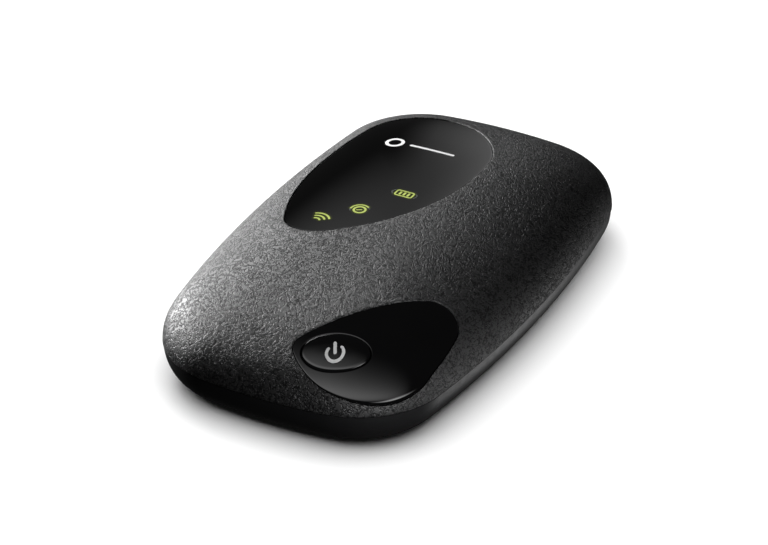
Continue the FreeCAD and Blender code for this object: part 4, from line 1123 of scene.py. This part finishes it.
def softbox(name, place, aim, size, radiance, group, soft=True):
    """Rectangular light at a place, aimed at a point, both in millimetres, that lights one group only.
    A soft one fades out from its middle, so that it leaves no hard edge in a reflection."""
    light = bpy.data.lights.new(name, "AREA")
    light.shape = "RECTANGLE"
    light.size, light.size_y = size[0] * MM, size[1] * MM
    light.energy = radiance * math.pi * light.size * light.size_y
    made = bpy.data.objects.new(name, light)
    bpy.context.scene.collection.objects.link(made)
    made.location = Vector(place) * MM
    out = (Vector(place) - Vector(aim)).normalized()
    made.rotation_euler = out.to_track_quat("Z", "Y").to_euler()
    made.light_linking.receiver_collection = group
    made.visible_camera = False
    if soft:
        light.use_nodes = True
        tree = light.node_tree
        spot = tree.nodes.new("ShaderNodeNewGeometry").outputs["Parametric"]
        reach = tree.nodes.new("ShaderNodeVectorMath")
        reach.operation = "DISTANCE"
        reach.inputs[1].default_value = (0.5, 0.5, 0.0)
        tree.links.new(spot, reach.inputs[0])
        ease = tree.nodes.new("ShaderNodeMapRange")
        ease.interpolation_type = "SMOOTHSTEP"
        ease.inputs["From Min"].default_value = 0.5
        ease.inputs["From Max"].default_value = 0.0
        tree.links.new(reach.outputs["Value"], ease.inputs["Value"])
        tree.links.new(ease.outputs["Result"], tree.nodes["Emission"].inputs["Strength"])
    return made


def studio_world():
    """White where the camera sees past the floor, and a weak fill light everywhere else."""
    world = bpy.data.worlds.new("studio")
    world.use_nodes = True
    seen = world.node_tree.nodes.new("ShaderNodeLightPath").outputs["Is Camera Ray"]
    strength = world.node_tree.nodes.new("ShaderNodeMapRange")
    strength.inputs["To Min"].default_value = WORLD_STRENGTH
    background = world.node_tree.nodes["Background"]
    background.inputs["Color"].default_value = (1, 1, 1, 1)
    world.node_tree.links.new(seen, strength.inputs["Value"])
    world.node_tree.links.new(strength.outputs["Result"], background.inputs["Strength"])
    bpy.context.scene.world = world


def lighting(ground):
    """Softboxes for the floor, the matt parts, the window and the key parts, each lighting its own."""
    studio_world()
    lit = ("symbol_wireless", "symbol_network", "symbol_battery", "halo_near", "halo_far")
    window = [bpy.data.objects[name] for name in ("indicator_lens", *lit)]
    key = [bpy.data.objects[name] for name in ("key_surround", "power_key_cap")]
    matt = [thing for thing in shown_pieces() if thing not in window + key]
    floor_group = lit_group("floor_light_group", [ground])
    matt_group = lit_group("matt_light_group", matt)
    window_group = lit_group("window_light_group", window)
    key_group = lit_group("key_light_group", key)
    for name, light in FLOOR_LIGHTS.items():
        softbox(name, *light, floor_group, soft=False)
    for name, light in MATT_LIGHTS.items():
        softbox(name, *light, matt_group)
    underside = softbox("underside", *UNDERSIDE_LIGHT, matt_group)
    underside.light_linking.blocker_collection = matt_group
    for name, light in WINDOW_LIGHTS.items():
        softbox(name, *light, window_group)
    for name, light in KEY_LIGHTS.items():
        softbox(name, *light, key_group)
    bpy.context.scene.view_settings.view_transform = "Standard"


def camera():
    """Long lens from the front right, turned 28 degrees from the -Y side."""
    level = math.cos(CAMERA_ELEVATION)
    back = Vector(
        (
            math.sin(CAMERA_AZIMUTH) * level,
            -math.cos(CAMERA_AZIMUTH) * level,
            math.sin(CAMERA_ELEVATION),
        )
    )
    right = Vector((math.cos(CAMERA_AZIMUTH), math.sin(CAMERA_AZIMUTH), 0))
    up = back.cross(right)
    rolled_right = right * math.cos(CAMERA_ROLL) + up * math.sin(CAMERA_ROLL)
    rolled_up = up * math.cos(CAMERA_ROLL) - right * math.sin(CAMERA_ROLL)
    lens = bpy.data.cameras.new("camera")
    lens.sensor_width = 36.0
    lens.lens = CAMERA_LENS
    lens.shift_x, lens.shift_y = CAMERA_SHIFT
    made = bpy.data.objects.new("camera", lens)
    bpy.context.scene.collection.objects.link(made)
    place = Matrix((rolled_right, rolled_up, back)).transposed().to_4x4()
    place.translation = (Vector(CENTRE) + back * CAMERA_DISTANCE) * MM
    made.matrix_world = place
    bpy.context.scene.camera = made


# ---- assembly ----------------------------------------------------------------


def dress():
    """Materials for the CAD nodes by their slot in the record, then the finer pieces."""
    materials = material_set()
    for part in frame["record"]["subparts"]:
        node = frame["nodes"][part["node"]]
        wear(node, materials[part["material_slot"]])
    wear(upper_cover(), materials["grained_plastic"])
    for piece in (indicator_window(), key_plate(), power_key()):
        wear(piece, materials["gloss_black"])
    far_glow, near_glow = 0.02, 0.07
    wear(halo("halo_far", 0.8, INK_LIFT / 3), halo_gloss("halo_far_gloss", far_glow))
    wear(halo("halo_near", 0.36, INK_LIFT * 2 / 3), halo_gloss("halo_near_gloss", near_glow))
    lit = lit_symbol()
    for piece in lit_symbols():
        wear(piece, lit)
    wear(unlit_marks(), symbol_paint("unlit_paint", (0.09, 0.095, 0.09), (0.06, 0.065, 0.06)))
    wear(plain_mark(), symbol_paint("white_paint", (0.9, 0.9, 0.9), (0.84, 0.84, 0.84)))
    wear(power_symbol(), symbol_paint("grey_paint", (0.5, 0.5, 0.5), (0.42, 0.42, 0.42)))


dress()
lighting(floor())
camera()
